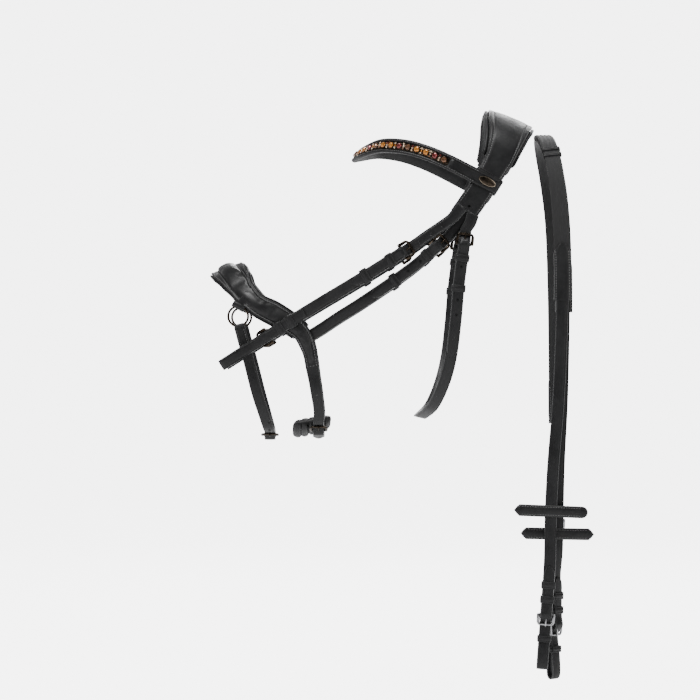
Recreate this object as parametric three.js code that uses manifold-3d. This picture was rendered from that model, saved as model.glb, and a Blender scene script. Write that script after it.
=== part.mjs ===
// Snaffle bridle: padded crown, jewelled browband, shaped noseband with a lower strap, reins.
// Millimetres. +Z is up, the horse faces -X, and the bridle is symmetric about Y = 0.
// The origin is under the middle of the crown, where the bridle rests on the poll.
// The right-hand half (+Y) is described, and the left-hand half is its mirror image.

import * as THREE from 'three';
import { mergeVertices } from 'three/addons/utils/BufferGeometryUtils.js';
import Module from 'manifold-3d';

const wasm = await Module();
wasm.setup();

// ---------------------------------------------------------------- driving dimensions
const GAP = 0.35; // clearance between pieces that lie on each other
const STRAP = { width: 15, thick: 2.4 }; // a strap that carries a buckle
const BILLET = { width: 14, thick: 2.2 }; // the pointed end that a buckle takes
const BUCKLE = { opening: 16.2, bar: 2, reach: 13, corner: 2.5 };
const HEEL = { bore: 1.7, roll: 3, slot: 3.6 }; // strap end folded round the heel bar
const TONGUE = { hub: 2.6, width: 2.4, thick: 1.4, length: 15 };
const KEEPER = { length: 9, wall: 1.3, runnerPlay: 0.6 };
const HOLE_RADIUS = 1.8;
const RING = { radius: 12.5, wire: 1.5, centre: [-341, -240], lift: 5 };
const CROWN = { poll: 60, side: 32, thick: 3, lift: 12.3 };
const CROWN_PAD = { thick: 5.4, lift: 2.7, reach: 108 };
const BROWBAND = {
  width: 19, thick: 5, endThick: 3, channel: 9, stones: 27, stoneRadius: 4, stonePitch: 12.7,
};
const NOSEBAND = { thick: 2.4, lift: 5.1, padThick: 3.2, padReach: 165 };
const CHIN_PAD = { width: 50, thick: 18, ribs: 5, groove: 1.6 };
const RING_FOLD = { radius: 3.3, width: 12 }; // leather rolled round a nose ring
const HEAD = { cheek: 94, mouth: 56, taperStart: 150, taperLength: 330 };
const REIN = { web: 20, webStart: 405, webEnd: 1085 }; // the web's ends, from the bit end
const REIN_STOP = { length: 93, height: 15, thick: 7, point: 7, passage: 4.4 };

const SAMPLE = 0.8; // spacing at which a path's bends are looked at
const MAX_SAG = 0.15; // how far a straight piece may leave its curve

// lifts of a billet above the middle of the strap that it lies on
const OVER_STRAP = STRAP.thick / 2 + GAP + BILLET.thick / 2 + 0.1;
const OVER_HEEL = HEEL.roll + GAP + BILLET.thick / 2 + 0.5;
const UNDER_BAR = -(BUCKLE.bar / 2 + GAP + BILLET.thick / 2 + 0.5);
// layers above the head, from the inside outwards
const NOSE_LAYER = 4.9;
const CHEEK_LAYER = 15.3;

// directions that straps lie in: the horse's left is -Y, and it faces -X
const FORWARD = [-1, 0, 0];
const BACKWARD = [1, 0, 0];
const OUTWARD = [0, 1, 0];
const INWARD = [0, -1, 0];

// ---------------------------------------------------------------- materials
function paint(color, roughness, metalness) {
  return () => new THREE.MeshStandardMaterial({ color, roughness, metalness });
}
const leather = paint(0x262626, 0.5, 0);
const softLeather = paint(0x1e1e1e, 0.6, 0);
const webbing = paint(0x1a1a1a, 0.85, 0);
const bronze = paint(0x4a4038, 0.3, 0.9);
const steel = paint(0xc8c8cc, 0.2, 1);
const crystal = paint(0x9a6a2c, 0.1, 0.1);

// ---------------------------------------------------------------- solids
function toSolid(geometry) {
  geometry.deleteAttribute('normal');
  geometry.deleteAttribute('uv');
  const merged = mergeVertices(geometry, 1e-4);
  const triVerts = Uint32Array.from(merged.index.array);
  const vertProperties = Float32Array.from(merged.attributes.position.array);
  return new wasm.Manifold(new wasm.Mesh({ numProp: 3, vertProperties, triVerts }));
}

function toGeometry(solid) {
  const mesh = solid.getMesh();
  const geometry = new THREE.BufferGeometry();
  geometry.setAttribute('position', new THREE.BufferAttribute(mesh.vertProperties, 3));
  geometry.setIndex(new THREE.BufferAttribute(mesh.triVerts, 1));
  geometry.computeVertexNormals();
  return geometry;
}

function joined(solids) {
  return solids.reduce((whole, piece) => whole.add(piece));
}

function cut(solid, tools) {
  return tools.reduce((left, tool) => left.subtract(tool), solid);
}

function mirrored(geometry) {
  const copy = geometry.clone();
  copy.scale(1, -1, 1);
  const index = copy.index.array;
  for (let i = 0; i < index.length; i += 3) {
    [index[i], index[i + 1]] = [index[i + 1], index[i]];
  }
  copy.computeVertexNormals();
  return copy;
}

// ---------------------------------------------------------------- the head that it is worn on
// The head tapers along its own axis, from the cheeks to the mouth.
const HEAD_AXIS = new THREE.Vector2(-0.84, -0.54);

function headWidth(x, z) {
  const along = x * HEAD_AXIS.x + z * HEAD_AXIS.y;
  const taper = THREE.MathUtils.clamp((along - HEAD.taperStart) / HEAD.taperLength, 0, 1);
  return HEAD.mouth + (HEAD.cheek - HEAD.mouth) * (0.5 + 0.5 * Math.cos(Math.PI * taper));
}

function onHead(x, z, lift) {
  return [x, headWidth(x, z) + lift, z];
}

// ---------------------------------------------------------------- paths
// A path is a smooth line with an outward and an across direction at every distance.
// Each stop is [point, direction]: the direction is across the strap, or outward when asked.
class Path {
  constructor(stops, meaning = 'across') {
    this.meaning = meaning;
    this.curve = new THREE.CatmullRomCurve3(
      stops.map(([point]) => new THREE.Vector3(...point)), false, 'centripetal');
    this.curve.arcLengthDivisions = 400;
    this.directions = stops.map(([, direction]) => new THREE.Vector3(...direction));
    this.length = this.curve.getLength();
  }

  frame(distance) {
    const share = THREE.MathUtils.clamp(distance / this.length, 0, 1);
    const t = this.curve.getUtoTmapping(share);
    const along = this.curve.getTangent(t);
    const point = this.curve.getPoint(t);
    point.addScaledVector(along, distance - share * this.length);
    const place = t * (this.directions.length - 1);
    const first = Math.min(Math.floor(place), this.directions.length - 2);
    const given = this.directions[first].clone().lerp(this.directions[first + 1], place - first);
    given.addScaledVector(along, -given.dot(along)).normalize();
    const out = this.meaning === 'out' ? given : given.clone().cross(along);
    const across = along.clone().cross(out);
    return { point, along, out, across };
  }

  at(distance, lift = 0) {
    const { point, out } = this.frame(distance);
    return point.addScaledVector(out, lift).toArray();
  }

  across(distance) {
    return this.frame(distance).across.toArray();
  }

  // places a fitting drawn with x across, y outward and z back along the strap
  place(geometry, distance, lift = 0) {
    const { point, along, out, across } = this.frame(distance);
    point.addScaledVector(out, lift);
    const basis = new THREE.Matrix4().makeBasis(across, out, along.clone().negate());
    return geometry.applyMatrix4(basis.setPosition(point));
  }
}

function valueAt(value, distance) {
  return typeof value === 'function' ? value(distance) : value;
}

// distances where a bent strap needs a cross-section: close in tight bends, far apart elsewhere
function stations(path, from, to, step, extra) {
  const marks = [from];
  let last = path.frame(from);
  for (let distance = from + SAMPLE; distance < to - SAMPLE; distance += SAMPLE) {
    const here = path.frame(distance);
    const gone = distance - marks[marks.length - 1];
    const turned = here.along.angleTo(last.along) + here.out.angleTo(last.out) / 2;
    const wanted = extra.some((mark) => mark > distance - SAMPLE && mark <= distance);
    if (wanted || gone > step || (gone * turned) / 8 > MAX_SAG) {
      marks.push(distance);
      last = here;
    }
  }
  return [...marks, to];
}

// a flat strap bent along a path; width and lift may depend on the distance along it
function strap(path, { from = 0, to = path.length, width, thick, lift = 0, step = 60, extra = [] }) {
  const marks = stations(path, from, to, step, extra);
  const pieces = marks.length - 1;
  const box = new THREE.BoxGeometry(1, 1, 1, pieces, 1, 1);
  const position = box.attributes.position;
  for (let i = 0; i < position.count; i += 1) {
    const distance = marks[Math.round((position.getX(i) + 0.5) * pieces)];
    const { point, out, across } = path.frame(distance);
    point.addScaledVector(out, valueAt(lift, distance) + position.getY(i) * valueAt(thick, distance));
    point.addScaledVector(across, position.getZ(i) * valueAt(width, distance));
    position.setXYZ(i, point.x, point.y, point.z);
  }
  return toSolid(box);
}

// cross-sections that a rounded tip needs
function tipMarks(end, inward = -1) {
  return [0.8, 2.4, 4.5, 7].map((back) => end + inward * back);
}

// full width that rounds off to a blunt tip over the last stretch before `end`
function tipped(width, end, length = 7) {
  return (distance) => {
    const left = THREE.MathUtils.clamp(Math.abs(end - distance) / length, 0, 1);
    return width * (0.4 + 0.6 * Math.sqrt(1 - (1 - left) ** 2));
  };
}

// ---------------------------------------------------------------- fittings
function bar(radius, length, sides = 10) {
  return new THREE.CylinderGeometry(radius, radius, length, sides);
}

// a round bar lying across the strap at a distance along it
function crossBar(path, distance, lift, radius, length, sides) {
  return toSolid(path.place(bar(radius, length, sides).rotateZ(Math.PI / 2), distance, lift));
}

function block(path, distance, lift, across, out, along) {
  return toSolid(path.place(new THREE.BoxGeometry(across, out, along), distance, lift));
}

function hole(path, distance, lift = 0) {
  return toSolid(path.place(bar(HOLE_RADIUS, 9, 6), distance, lift));
}

// strap end folded round the heel bar, with a slot for the tongue
function foldedEnd(body, path, width = STRAP.width) {
  const roll = crossBar(path, 0, 0, HEEL.roll, width, 10);
  return cut(body.add(roll), [
    crossBar(path, 0, 0, HEEL.bore + 0.1, width + 2, 6),
    block(path, -1.5, 0, HEEL.slot, 9, 10),
  ]);
}

// the frame's heel bar lies at the path's start, and the frame reaches back past it
function buckleFrame(path) {
  const half = BUCKLE.opening / 2 + BUCKLE.bar;
  const near = -BUCKLE.bar / 2;
  const far = BUCKLE.reach + BUCKLE.bar / 2;
  const outline = new THREE.Shape([
    [-half, near], [half, near], [half, far - BUCKLE.corner], [half - BUCKLE.corner, far],
    [BUCKLE.corner - half, far], [-half, far - BUCKLE.corner],
  ].map((corner) => new THREE.Vector2(...corner)));
  const inside = BUCKLE.opening / 2;
  outline.holes.push(new THREE.Path([
    [-inside, near + BUCKLE.bar], [-inside, far - BUCKLE.bar],
    [inside, far - BUCKLE.bar], [inside, near + BUCKLE.bar],
  ].map((corner) => new THREE.Vector2(...corner))));
  const frame = new THREE.ExtrudeGeometry(outline, { depth: BUCKLE.bar, bevelEnabled: false });
  frame.translate(0, 0, -BUCKLE.bar / 2).rotateX(Math.PI / 2);
  return path.place(frame, 0);
}

// the tongue turns on the heel bar and its tip rests on the far bar
function buckleTongue(path) {
  const outline = new THREE.Shape();
  outline.absarc(0, 0, TONGUE.hub, 0.75, Math.PI * 2 - 0.1, false);
  const rest = BUCKLE.bar / 2 + GAP;
  outline.lineTo(BUCKLE.reach - 2, rest);
  outline.lineTo(TONGUE.length, rest);
  outline.lineTo(TONGUE.length, rest + TONGUE.thick);
  outline.closePath();
  const eye = new THREE.Path();
  eye.absarc(0, 0, HEEL.bore, 0, Math.PI * 2, true);
  outline.holes.push(eye);
  const tongue = new THREE.ExtrudeGeometry(outline, {
    depth: TONGUE.width, bevelEnabled: false, curveSegments: 4,
  });
  tongue.translate(0, 0, -TONGUE.width / 2).rotateY(-Math.PI / 2);
  return path.place(tongue, 0);
}

// a keeper ring round the strap; low and high are its inside faces
function keeper(path, distance, { low, high, half, length = KEEPER.length }) {
  const wall = KEEPER.wall;
  const outline = new THREE.Shape([
    [-half - wall, low - wall], [half + wall, low - wall],
    [half + wall, high + wall], [-half - wall, high + wall],
  ].map((corner) => new THREE.Vector2(...corner)));
  outline.holes.push(new THREE.Path([
    [-half, low], [-half, high], [half, high], [half, low],
  ].map((corner) => new THREE.Vector2(...corner))));
  const ring = new THREE.ExtrudeGeometry(outline, { depth: length, bevelEnabled: false });
  return toSolid(path.place(ring.translate(0, 0, -length / 2), distance));
}

const CLEAR_BILLET = OVER_STRAP + BILLET.thick / 2 + GAP + 0.3;
const STRAP_SIDE = STRAP.width / 2 - 0.2;

// sewn to the strap's edges, over one billet
function fixedKeeper(path, distance) {
  return keeper(path, distance, {
    low: -STRAP.thick / 2 + 0.2, high: CLEAR_BILLET, half: STRAP_SIDE,
  });
}

// sewn to the strap's edges, over a billet on each face
function doubleKeeper(path, distance) {
  return keeper(path, distance, { low: -CLEAR_BILLET, high: CLEAR_BILLET, half: STRAP_SIDE });
}

function runner(path, distance) {
  return keeper(path, distance, {
    low: -STRAP.thick / 2 - GAP,
    high: CLEAR_BILLET,
    half: STRAP.width / 2 + KEEPER.runnerPlay,
  });
}

// stops of a billet that comes under the far bar, over the heel and along the strap
function throughBuckle(path, tail) {
  const course = [
    [-19, UNDER_BAR], [-12.4, UNDER_BAR], [-7.2, 0.4], [-3.5, 3.9], [0, OVER_HEEL],
    [5, 4], [10, OVER_STRAP + 0.4],
  ];
  const rest = Math.ceil((tail - 10) / 16);
  for (let i = 1; i <= rest; i += 1) course.push([10 + ((tail - 10) * i) / rest, OVER_STRAP]);
  return course.map(([distance, lift]) => [path.at(distance, lift), path.across(distance)]);
}

function tongueSlot(path) {
  return block(path, -6, 1.5, HEEL.slot, 11, 12);
}

// ---------------------------------------------------------------- the finished group
const bridle = new THREE.Group();

function addPiece(name, geometry, material) {
  const piece = new THREE.Mesh(geometry, material());
  piece.name = name;
  bridle.add(piece);
}

function addSolid(name, solid, material) {
  addPiece(name, toGeometry(solid), material);
}

// builds the right-hand piece and its mirror image
function addPair(name, solid, material) {
  const geometry = toGeometry(solid);
  addPiece(`${name}_right`, geometry, material);
  addPiece(`${name}_left`, mirrored(geometry), material);
}

function facing(points, direction) {
  return points.map((point) => [point, direction]);
}

// the same line followed the other way, with its outward side kept
function reversed(stops) {
  return [...stops].reverse().map(([point, [a, b, c]]) => [point, [-a, -b, -c]]);
}

function mirrorStops(stops) {
  return stops.map(([[x, y, z], [a, b, c]]) => [[x, -y, z], [a, -b, c]]);
}

// a path over the middle, from the right-hand half's stops
function bothSides(stops) {
  const onMiddle = stops[stops.length - 1][0][1] === 0;
  const half = onMiddle ? stops.slice(0, -1) : stops;
  return [...stops, ...mirrorStops(half).reverse()];
}

// ---------------------------------------------------------------- crown and browband
const FLAT_POLL = 7; // the pad is flat this far each side of the middle
const TILT_POLL = [0.926, 0, -0.377];
const TILT_SIDE = [0.85, 0, -0.52];
const crownHalf = [
  [[-54, 94, -107], TILT_SIDE], [[-42, 94, -90], TILT_SIDE], [[-30, 92, -72], TILT_SIDE],
  [[-16, 84, -48], TILT_SIDE], [[-8, 68, -26], [0.9, 0, -0.43]],
  [[-3, 42, -8], TILT_POLL], [[0, 20, 0], TILT_POLL], [[0, FLAT_POLL, 0], TILT_POLL],
];
const crownPath = new Path(bothSides(crownHalf).reverse());
const crownMiddle = crownPath.length / 2;
const loopPlace = crownPath.length - 42;

// wide at the poll, narrow below the browband
function crownWidth(distance) {
  const away = Math.abs(distance - crownMiddle);
  const share = THREE.MathUtils.smoothstep(away, 8, loopPlace - crownMiddle);
  return CROWN.poll + (CROWN.side - CROWN.poll) * share;
}

addSolid('crown_piece', strap(crownPath, {
  width: crownWidth, thick: CROWN.thick, lift: CROWN.lift, step: 16,
}), leather);
addSolid('crown_pad', strap(crownPath, {
  from: crownMiddle - CROWN_PAD.reach,
  to: crownMiddle + CROWN_PAD.reach,
  width: (distance) => crownWidth(distance) + 2,
  thick: CROWN_PAD.thick,
  lift: CROWN_PAD.lift,
  step: 16,
  extra: [crownMiddle - FLAT_POLL + SAMPLE, crownMiddle + FLAT_POLL - SAMPLE],
}), softLeather);

// lies between the crown and its pad, and comes out against the head below the browband
function headstrapLift(distance) {
  const away = Math.abs(distance - crownMiddle);
  return 8.2 - 5.2 * THREE.MathUtils.smoothstep(away, 118, crownMiddle);
}
addSolid('noseband_headstrap', strap(crownPath, {
  width: STRAP.width, thick: BILLET.thick, lift: headstrapLift, step: 16,
}), leather);

const BAND_SIDE = [-0.42, 0, -0.9];
const browPath = new Path(bothSides([
  [[-30, 109.2, -72], [-0.52, 0, -0.85]], [[-46, 111, -64], [-0.45, 0, -0.88]],
  [[-79, 107, -47], BAND_SIDE], [[-104, 99, -36], BAND_SIDE], [[-130, 86, -28], [-0.4, 0, -0.91]],
  [[-161, 61, -25], [-0.5, 0, -0.86]], [[-184, 28, -31], [-0.6, 0, -0.8]],
  [[-191, 0, -34], [-0.6, 0, -0.8]],
]));
const browMiddle = browPath.length / 2;

function crownLoop(distance) {
  return keeper(crownPath, distance, {
    low: -0.5, high: 14.4, half: CROWN.side / 2 + 1.4, length: BROWBAND.width,
  });
}
addSolid('browband', joined([
  strap(browPath, { width: BROWBAND.width, thick: (d) => (
    BROWBAND.endThick + (BROWBAND.thick - BROWBAND.endThick)
    * THREE.MathUtils.smoothstep(Math.min(d, browPath.length - d), 12, 45)), step: 24 }),
  crownLoop(loopPlace),
  crownLoop(crownPath.length - loopPlace),
]), leather);

// stones set in one metal channel along the front of the browband
const stones = Array.from({ length: BROWBAND.stones }, (_, i) => {
  const distance = browMiddle + (i - (BROWBAND.stones - 1) / 2) * BROWBAND.stonePitch;
  const stone = new THREE.CylinderGeometry(2, BROWBAND.stoneRadius, 2.4, 6);
  return toSolid(browPath.place(stone, distance, BROWBAND.thick / 2 + 2.4));
});
const channelReach = (BROWBAND.stones / 2) * BROWBAND.stonePitch;
addSolid('browband_crystals', joined([
  strap(browPath, {
    from: browMiddle - channelReach, to: browMiddle + channelReach,
    width: BROWBAND.channel, thick: 1.2, lift: BROWBAND.thick / 2 + 1.35,
  }),
  ...stones,
]), crystal);

// ---------------------------------------------------------------- cheekpieces
const cheekPath = new Path(facing([
  onHead(-135, -161, CHEEK_LAYER), onHead(-181, -190, CHEEK_LAYER),
  onHead(-256, -235, CHEEK_LAYER), onHead(-302, -264, CHEEK_LAYER),
], OUTWARD), 'out');
const DOWN_BACK = [0.54, 0, -0.84];

const cheekBilletPath = new Path([
  [onHead(-63, -106, CROWN.lift), TILT_SIDE],
  [onHead(-72, -117.5, CROWN.lift), [0.7, 0, -0.7]],
  ...facing([onHead(-86, -128, CROWN.lift), onHead(-103, -139.5, CROWN.lift)], DOWN_BACK),
  ...throughBuckle(cheekPath, 74),
]);
const alongCheek = [26, 43, 60].map((back) => hole(cheekPath, -back, -3));
addPair('cheek_billet', cut(
  strap(cheekBilletPath, {
    width: tipped(BILLET.width, cheekBilletPath.length),
    thick: BILLET.thick,
    extra: tipMarks(cheekBilletPath.length),
  }),
  [tongueSlot(cheekPath), hole(cheekPath, 30, 3), ...alongCheek],
), leather);

// the bit end's buckle faces the head, so its path runs up the strap with the face turned in
const bitPath = new Path(facing([0, 30, 60].map(
  (up) => cheekPath.at(cheekPath.length - up)), INWARD), 'out');

// a billet sewn on the back, turned round the bit or rein loop and up through the buckle
function loopStops(path, { sewn, tail, end, belly }) {
  const back = -OVER_STRAP;
  const course = [
    [sewn, back], [sewn / 2 + 4, back], [9, back], [4, -3.5], [0, -OVER_HEEL], [-7, -5.2],
    [-20, -5.6 - belly / 2], [end * 0.62, -6 - belly], [end + 3, -4.5 - belly], [end, -2 - belly / 2],
    [end + 3, 0.5], [end * 0.62, 0.5],
  ];
  const stops = course.map(([distance, lift]) => [path.at(distance, lift), path.across(distance)]);
  return [...stops, ...throughBuckle(path, tail)];
}
// the back of the billet is stitched to the strap at one place clear of the keepers
function sewnLoop(path, sizes, slotLift = 2.4) {
  const billet = strap(new Path(loopStops(path, sizes)), {
    width: BILLET.width, thick: BILLET.thick,
  });
  const stitching = block(path, sizes.sewn - 8, -OVER_STRAP / 2, BILLET.width - 2, 2, 9);
  return cut(billet, [block(path, -6, slotLift, HEEL.slot, 9, 12)]).add(stitching);
}

const cheekStrap = strap(cheekPath, { width: STRAP.width, thick: STRAP.thick });
addPair('cheekpiece', joined([
  foldedEnd(foldedEnd(cheekStrap, cheekPath), bitPath),
  fixedKeeper(cheekPath, 17),
  doubleKeeper(bitPath, 17),
  doubleKeeper(bitPath, 33),
  sewnLoop(bitPath, { sewn: 54, tail: 34, end: -71, belly: 1.5 }),
]), leather);
addPair('cheek_buckle', toSolid(buckleFrame(cheekPath)), bronze);
addPair('cheek_tongue', toSolid(buckleTongue(cheekPath)), bronze);
addPair('cheek_runner', runner(cheekPath, 54), leather);
addPair('bit_buckle', toSolid(buckleFrame(bitPath)), bronze);
addPair('bit_tongue', toSolid(buckleTongue(bitPath)), bronze);

// ---------------------------------------------------------------- noseband
const hangerPath = new Path(facing([
  onHead(-91, -153, NOSE_LAYER), onHead(-120, -178, NOSE_LAYER), onHead(-184, -222.5, NOSE_LAYER),
  onHead(-215, -242, 2.6), onHead(-236, -256, 0.2), onHead(-254, -267, -0.4),
], OUTWARD), 'out');
const nosebandBilletPath = new Path([
  ...facing([onHead(-54.5, -112, 3.1), onHead(-64, -125, 2.7)], [0.72, 0, -0.69]),
  ...throughBuckle(hangerPath, 104),
]);
addPair('noseband_billet', cut(
  strap(nosebandBilletPath, {
    width: tipped(BILLET.width, nosebandBilletPath.length),
    thick: BILLET.thick,
    extra: tipMarks(nosebandBilletPath.length),
  }),
  [
    tongueSlot(hangerPath),
    hole(hangerPath, -24, -3), hole(hangerPath, 28, 3), hole(hangerPath, 47, 3),
  ],
), leather);
const hanger = strap(hangerPath, { width: STRAP.width, thick: STRAP.thick });
addPair('noseband_hanger', joined([
  foldedEnd(hanger, hangerPath), fixedKeeper(hangerPath, 17),
]), leather);
addPair('noseband_buckle', toSolid(buckleFrame(hangerPath)), bronze);
addPair('noseband_tongue', toSolid(buckleTongue(hangerPath)), bronze);
addPair('noseband_runner', runner(hangerPath, 68), leather);

// the chin strap and its pad lie under the jaw, with a buckle at each end
const chinStops = bothSides(facing([[-240, 30, -385], [-240, 15, -391], [-240, 0, -393]], BACKWARD));
const chinPath = new Path(chinStops);
const chinBack = new Path(reversed(chinStops));
const chinPadPath = new Path(bothSides(facing(
  [[-248, 26, -371.5], [-249, 14, -379.5], [-249, 0, -384.2]], [0.96, 0, 0.28])));
const chinStrap = strap(chinPath, { width: STRAP.width, thick: STRAP.thick });
const padBody = strap(chinPadPath, { width: CHIN_PAD.width, thick: CHIN_PAD.thick, step: 12 });
const padGrooves = Array.from({ length: CHIN_PAD.ribs - 1 }, (_, i) => {
  const across = (i + 1 - CHIN_PAD.ribs / 2) * (CHIN_PAD.width / CHIN_PAD.ribs);
  const groove = new THREE.BoxGeometry(CHIN_PAD.groove, 2, CHIN_PAD.width * 2);
  groove.translate(across, CHIN_PAD.thick / 2 - 1, 0);
  return toSolid(chinPadPath.place(groove, chinPadPath.length / 2));
});
addSolid('chin_pad', joined([
  foldedEnd(foldedEnd(chinStrap, chinPath), chinBack), cut(padBody, padGrooves),
]), softLeather);
addPair('chin_buckle', toSolid(buckleFrame(chinPath)), bronze);
addPair('chin_tongue', toSolid(buckleTongue(chinPath)), bronze);

// the nosepiece runs from one chin buckle, up the cheek, over the nose and down again
const chinTail = throughBuckle(chinPath, 20).reverse().map(([point]) => [point, FORWARD]);
const nosePath = new Path(bothSides([
  ...chinTail,
  [[-239, 57, -362], FORWARD],
  [onHead(-242, -338, NOSEBAND.lift), [-1, 0, -0.1]],
  [onHead(-247, -308, NOSEBAND.lift), [-1, 0, -0.1]],
  [onHead(-252, -282, NOSEBAND.lift), [-0.95, 0, -0.3]],
  [onHead(-261, -262, NOSEBAND.lift), [-0.78, 0, -0.63]],
  [onHead(-277, -248, NOSEBAND.lift), [-0.56, 0, -0.83]],
  [onHead(-297, -236, NOSEBAND.lift), [-0.52, 0, -0.86]],
  [onHead(-316, -226, NOSEBAND.lift), [-0.66, 0, -0.75]],
  [[-333, 59, -210], [-0.82, 0, -0.57]],
  [[-345, 42, -193], [-0.9, 0, -0.42]],
  [[-354, 22, -182], [-0.94, 0, -0.35]],
  [[-358, 0, -178], [-0.94, 0, -0.35]],
]));
const noseMiddle = nosePath.length / 2;
const noseWidths = [[0, 42], [22, 42], [46, 36], [70, 28], [95, 25], [120, 27], [146, 25], [172, 21],
  [200, 17], [235, STRAP.width], [262, BILLET.width]];

function tableAt(table, place) {
  const next = table.findIndex(([at]) => at > place);
  if (next < 0) return table[table.length - 1][1];
  const [[a, low], [b, high]] = [table[next - 1], table[next]];
  return THREE.MathUtils.lerp(low, high, (place - a) / (b - a));
}

function noseWidth(distance) {
  const away = Math.abs(distance - noseMiddle);
  const end = tipped(1, noseMiddle)(away);
  return tableAt(noseWidths, away) * end;
}

const padLift = -(NOSEBAND.thick / 2 + GAP + NOSEBAND.padThick / 2 + 0.6);
const ringBase = [RING.centre[0], headWidth(...RING.centre) + RING.lift, RING.centre[1]];

function ringSolid(wire, sides) {
  const torus = new THREE.TorusGeometry(RING.radius, wire, 6, sides);
  return toSolid(torus.rotateX(Math.PI / 2).translate(...ringBase));
}

const ringClearance = ringSolid(RING.wire + GAP, 20);
const tabRoll = toSolid(bar(RING_FOLD.radius, RING_FOLD.width, 10).rotateZ(Math.PI / 2).rotateY(0.2)
  .translate(ringBase[0] + 2.4, ringBase[1], ringBase[2] + RING.radius - 0.3));
const tab = toSolid(new THREE.BoxGeometry(11, 4, 11).rotateY(0.5)
  .translate(ringBase[0] + 7, ringBase[1] + 0.6, ringBase[2] + RING.radius + 7));
function mirroredSolid(solid) {
  return toSolid(mirrored(toGeometry(solid)));
}
const ringTabs = cut(tabRoll.add(tab), [ringClearance]);
const noseSlots = [tongueSlot(chinPath), hole(chinPath, -27, -3), hole(chinPath, -43, -3)];
addSolid('nosepiece', cut(joined([
  strap(nosePath, { width: noseWidth, thick: NOSEBAND.thick, step: 20 }),
  ringTabs, mirroredSolid(ringTabs),
]), [...noseSlots, ...noseSlots.map(mirroredSolid)]), leather);
const hangerRoom = strap(hangerPath, {
  from: hangerPath.length - 30, to: hangerPath.length + 1, width: STRAP.width + 1, thick: 4.4, lift: 0,
});
const tabRoom = toSolid(new THREE.BoxGeometry(25, 12, 25)
  .translate(ringBase[0] + 5, ringBase[1], ringBase[2] + RING.radius + 5));
addSolid('nose_pad', cut(strap(nosePath, {
  from: noseMiddle - NOSEBAND.padReach, to: noseMiddle + NOSEBAND.padReach,
  width: (distance) => tableAt(noseWidths, Math.abs(distance - noseMiddle)) + 3,
  thick: NOSEBAND.padThick, lift: padLift, step: 20,
}), [hangerRoom, mirroredSolid(hangerRoom), tabRoom, mirroredSolid(tabRoom)]), softLeather);
addPair('nose_ring', ringSolid(RING.wire, 20), bronze);

// the lower strap hangs from the rings and buckles under the chin, on the left
const foldHeight = ringBase[2] - RING.radius;
const lowerSide = [
  onHead(-317, -338, 4.5), onHead(-328, -295, 5), onHead(-335.5, -268, 5),
  [ringBase[0] + 1.5, ringBase[1], foldHeight],
];
const lowerPath = new Path(facing([
  [-302, -14, -391], [-302, 4, -393], [-302.5, 20, -390.5], [-304, 38, -383], [-309, 53, -366],
  ...lowerSide,
], FORWARD));
const leftSide = lowerSide.map(([x, y, z]) => [x, -y, z]);
const lowerBilletPath = new Path([
  ...throughBuckle(lowerPath, 22).reverse().map(([point]) => [point, BACKWARD]),
  ...facing([[-304, -45, -379.5], [-309, -56, -363], ...leftSide], BACKWARD),
]);
const ringFold = crossBar(
  lowerPath, lowerPath.length, 0, RING_FOLD.radius, RING_FOLD.width, 10);
const lowerLeft = strap(lowerBilletPath, {
  width: tipped(BILLET.width, 0), thick: BILLET.thick, extra: tipMarks(0, 1),
});
addSolid('lower_strap_right', cut(joined([
  foldedEnd(strap(lowerPath, { width: STRAP.width, thick: STRAP.thick }), lowerPath),
  ringFold,
]), [ringClearance]), leather);
addSolid('lower_strap_left', cut(lowerLeft.add(mirroredSolid(ringFold)), [
  mirroredSolid(ringClearance), tongueSlot(lowerPath),
  hole(lowerPath, -27, -3), hole(lowerPath, -39, -3),
]), leather);
addSolid('lower_buckle', toSolid(buckleFrame(lowerPath)), bronze);
addSolid('lower_tongue', toSolid(buckleTongue(lowerPath)), bronze);

// ---------------------------------------------------------------- throatlatch
const throatStops = bothSides([
  [onHead(-57.5, -151, CHEEK_LAYER), BACKWARD], [onHead(-64, -199, CHEEK_LAYER), BACKWARD],
  [onHead(-68, -245, 14), BACKWARD], [[-74, 99, -293], BACKWARD], [[-82, 86, -324], BACKWARD],
  [[-95, 56, -353], [0.97, 0, -0.24]], [[-108, 22, -366], [0.97, 0, -0.24]],
  [[-111, 0, -368], [0.97, 0, -0.24]],
]);
const throatPath = new Path(throatStops);
const throatBack = new Path(reversed(throatStops));
const throatBilletPath = new Path([
  [onHead(-47.3, -115.7, CROWN.lift), [0.95, 0, -0.3]], [onHead(-50, -124, CROWN.lift), BACKWARD],
  ...throughBuckle(throatPath, 142),
]);
const throatHoles = [28, 69, 88];
addPair('throat_billet', cut(
  strap(throatBilletPath, {
    width: tipped(BILLET.width, throatBilletPath.length),
    thick: BILLET.thick,
    extra: tipMarks(throatBilletPath.length),
  }),
  [tongueSlot(throatPath), ...throatHoles.map((down) => hole(throatPath, down, 3))],
), leather);
const throatKeepers = [17, 55].map((down) => fixedKeeper(throatPath, down));
addSolid('throatlatch', joined([
  foldedEnd(foldedEnd(
    strap(throatPath, { width: STRAP.width, thick: STRAP.thick }), throatPath), throatBack),
  ...throatKeepers, ...throatKeepers.map(mirroredSolid),
]), leather);
addPair('throat_buckle', toSolid(buckleFrame(throatPath)), bronze);
addPair('throat_tongue', toSolid(buckleTongue(throatPath)), bronze);

// ---------------------------------------------------------------- reins
// Both reins lie folded together over the neck, with their bit ends on the horse's left.
const leftRein = new Path(facing([
  [44, -118, -611], [48.5, -117, -549], [50, -116, -484], [53, -114, -427], [60, -113, -340],
  [65, -112, -190], [62, -107, -110], [57, -93, -56], [50, -58, -20], [46, 0, -8.5],
  [50, 58, -20], [58, 94, -56], [66, 110, -110], [70, 114, -200], [72, 114.5, -400], [72, 114.5, -505],
], BACKWARD));
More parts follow.
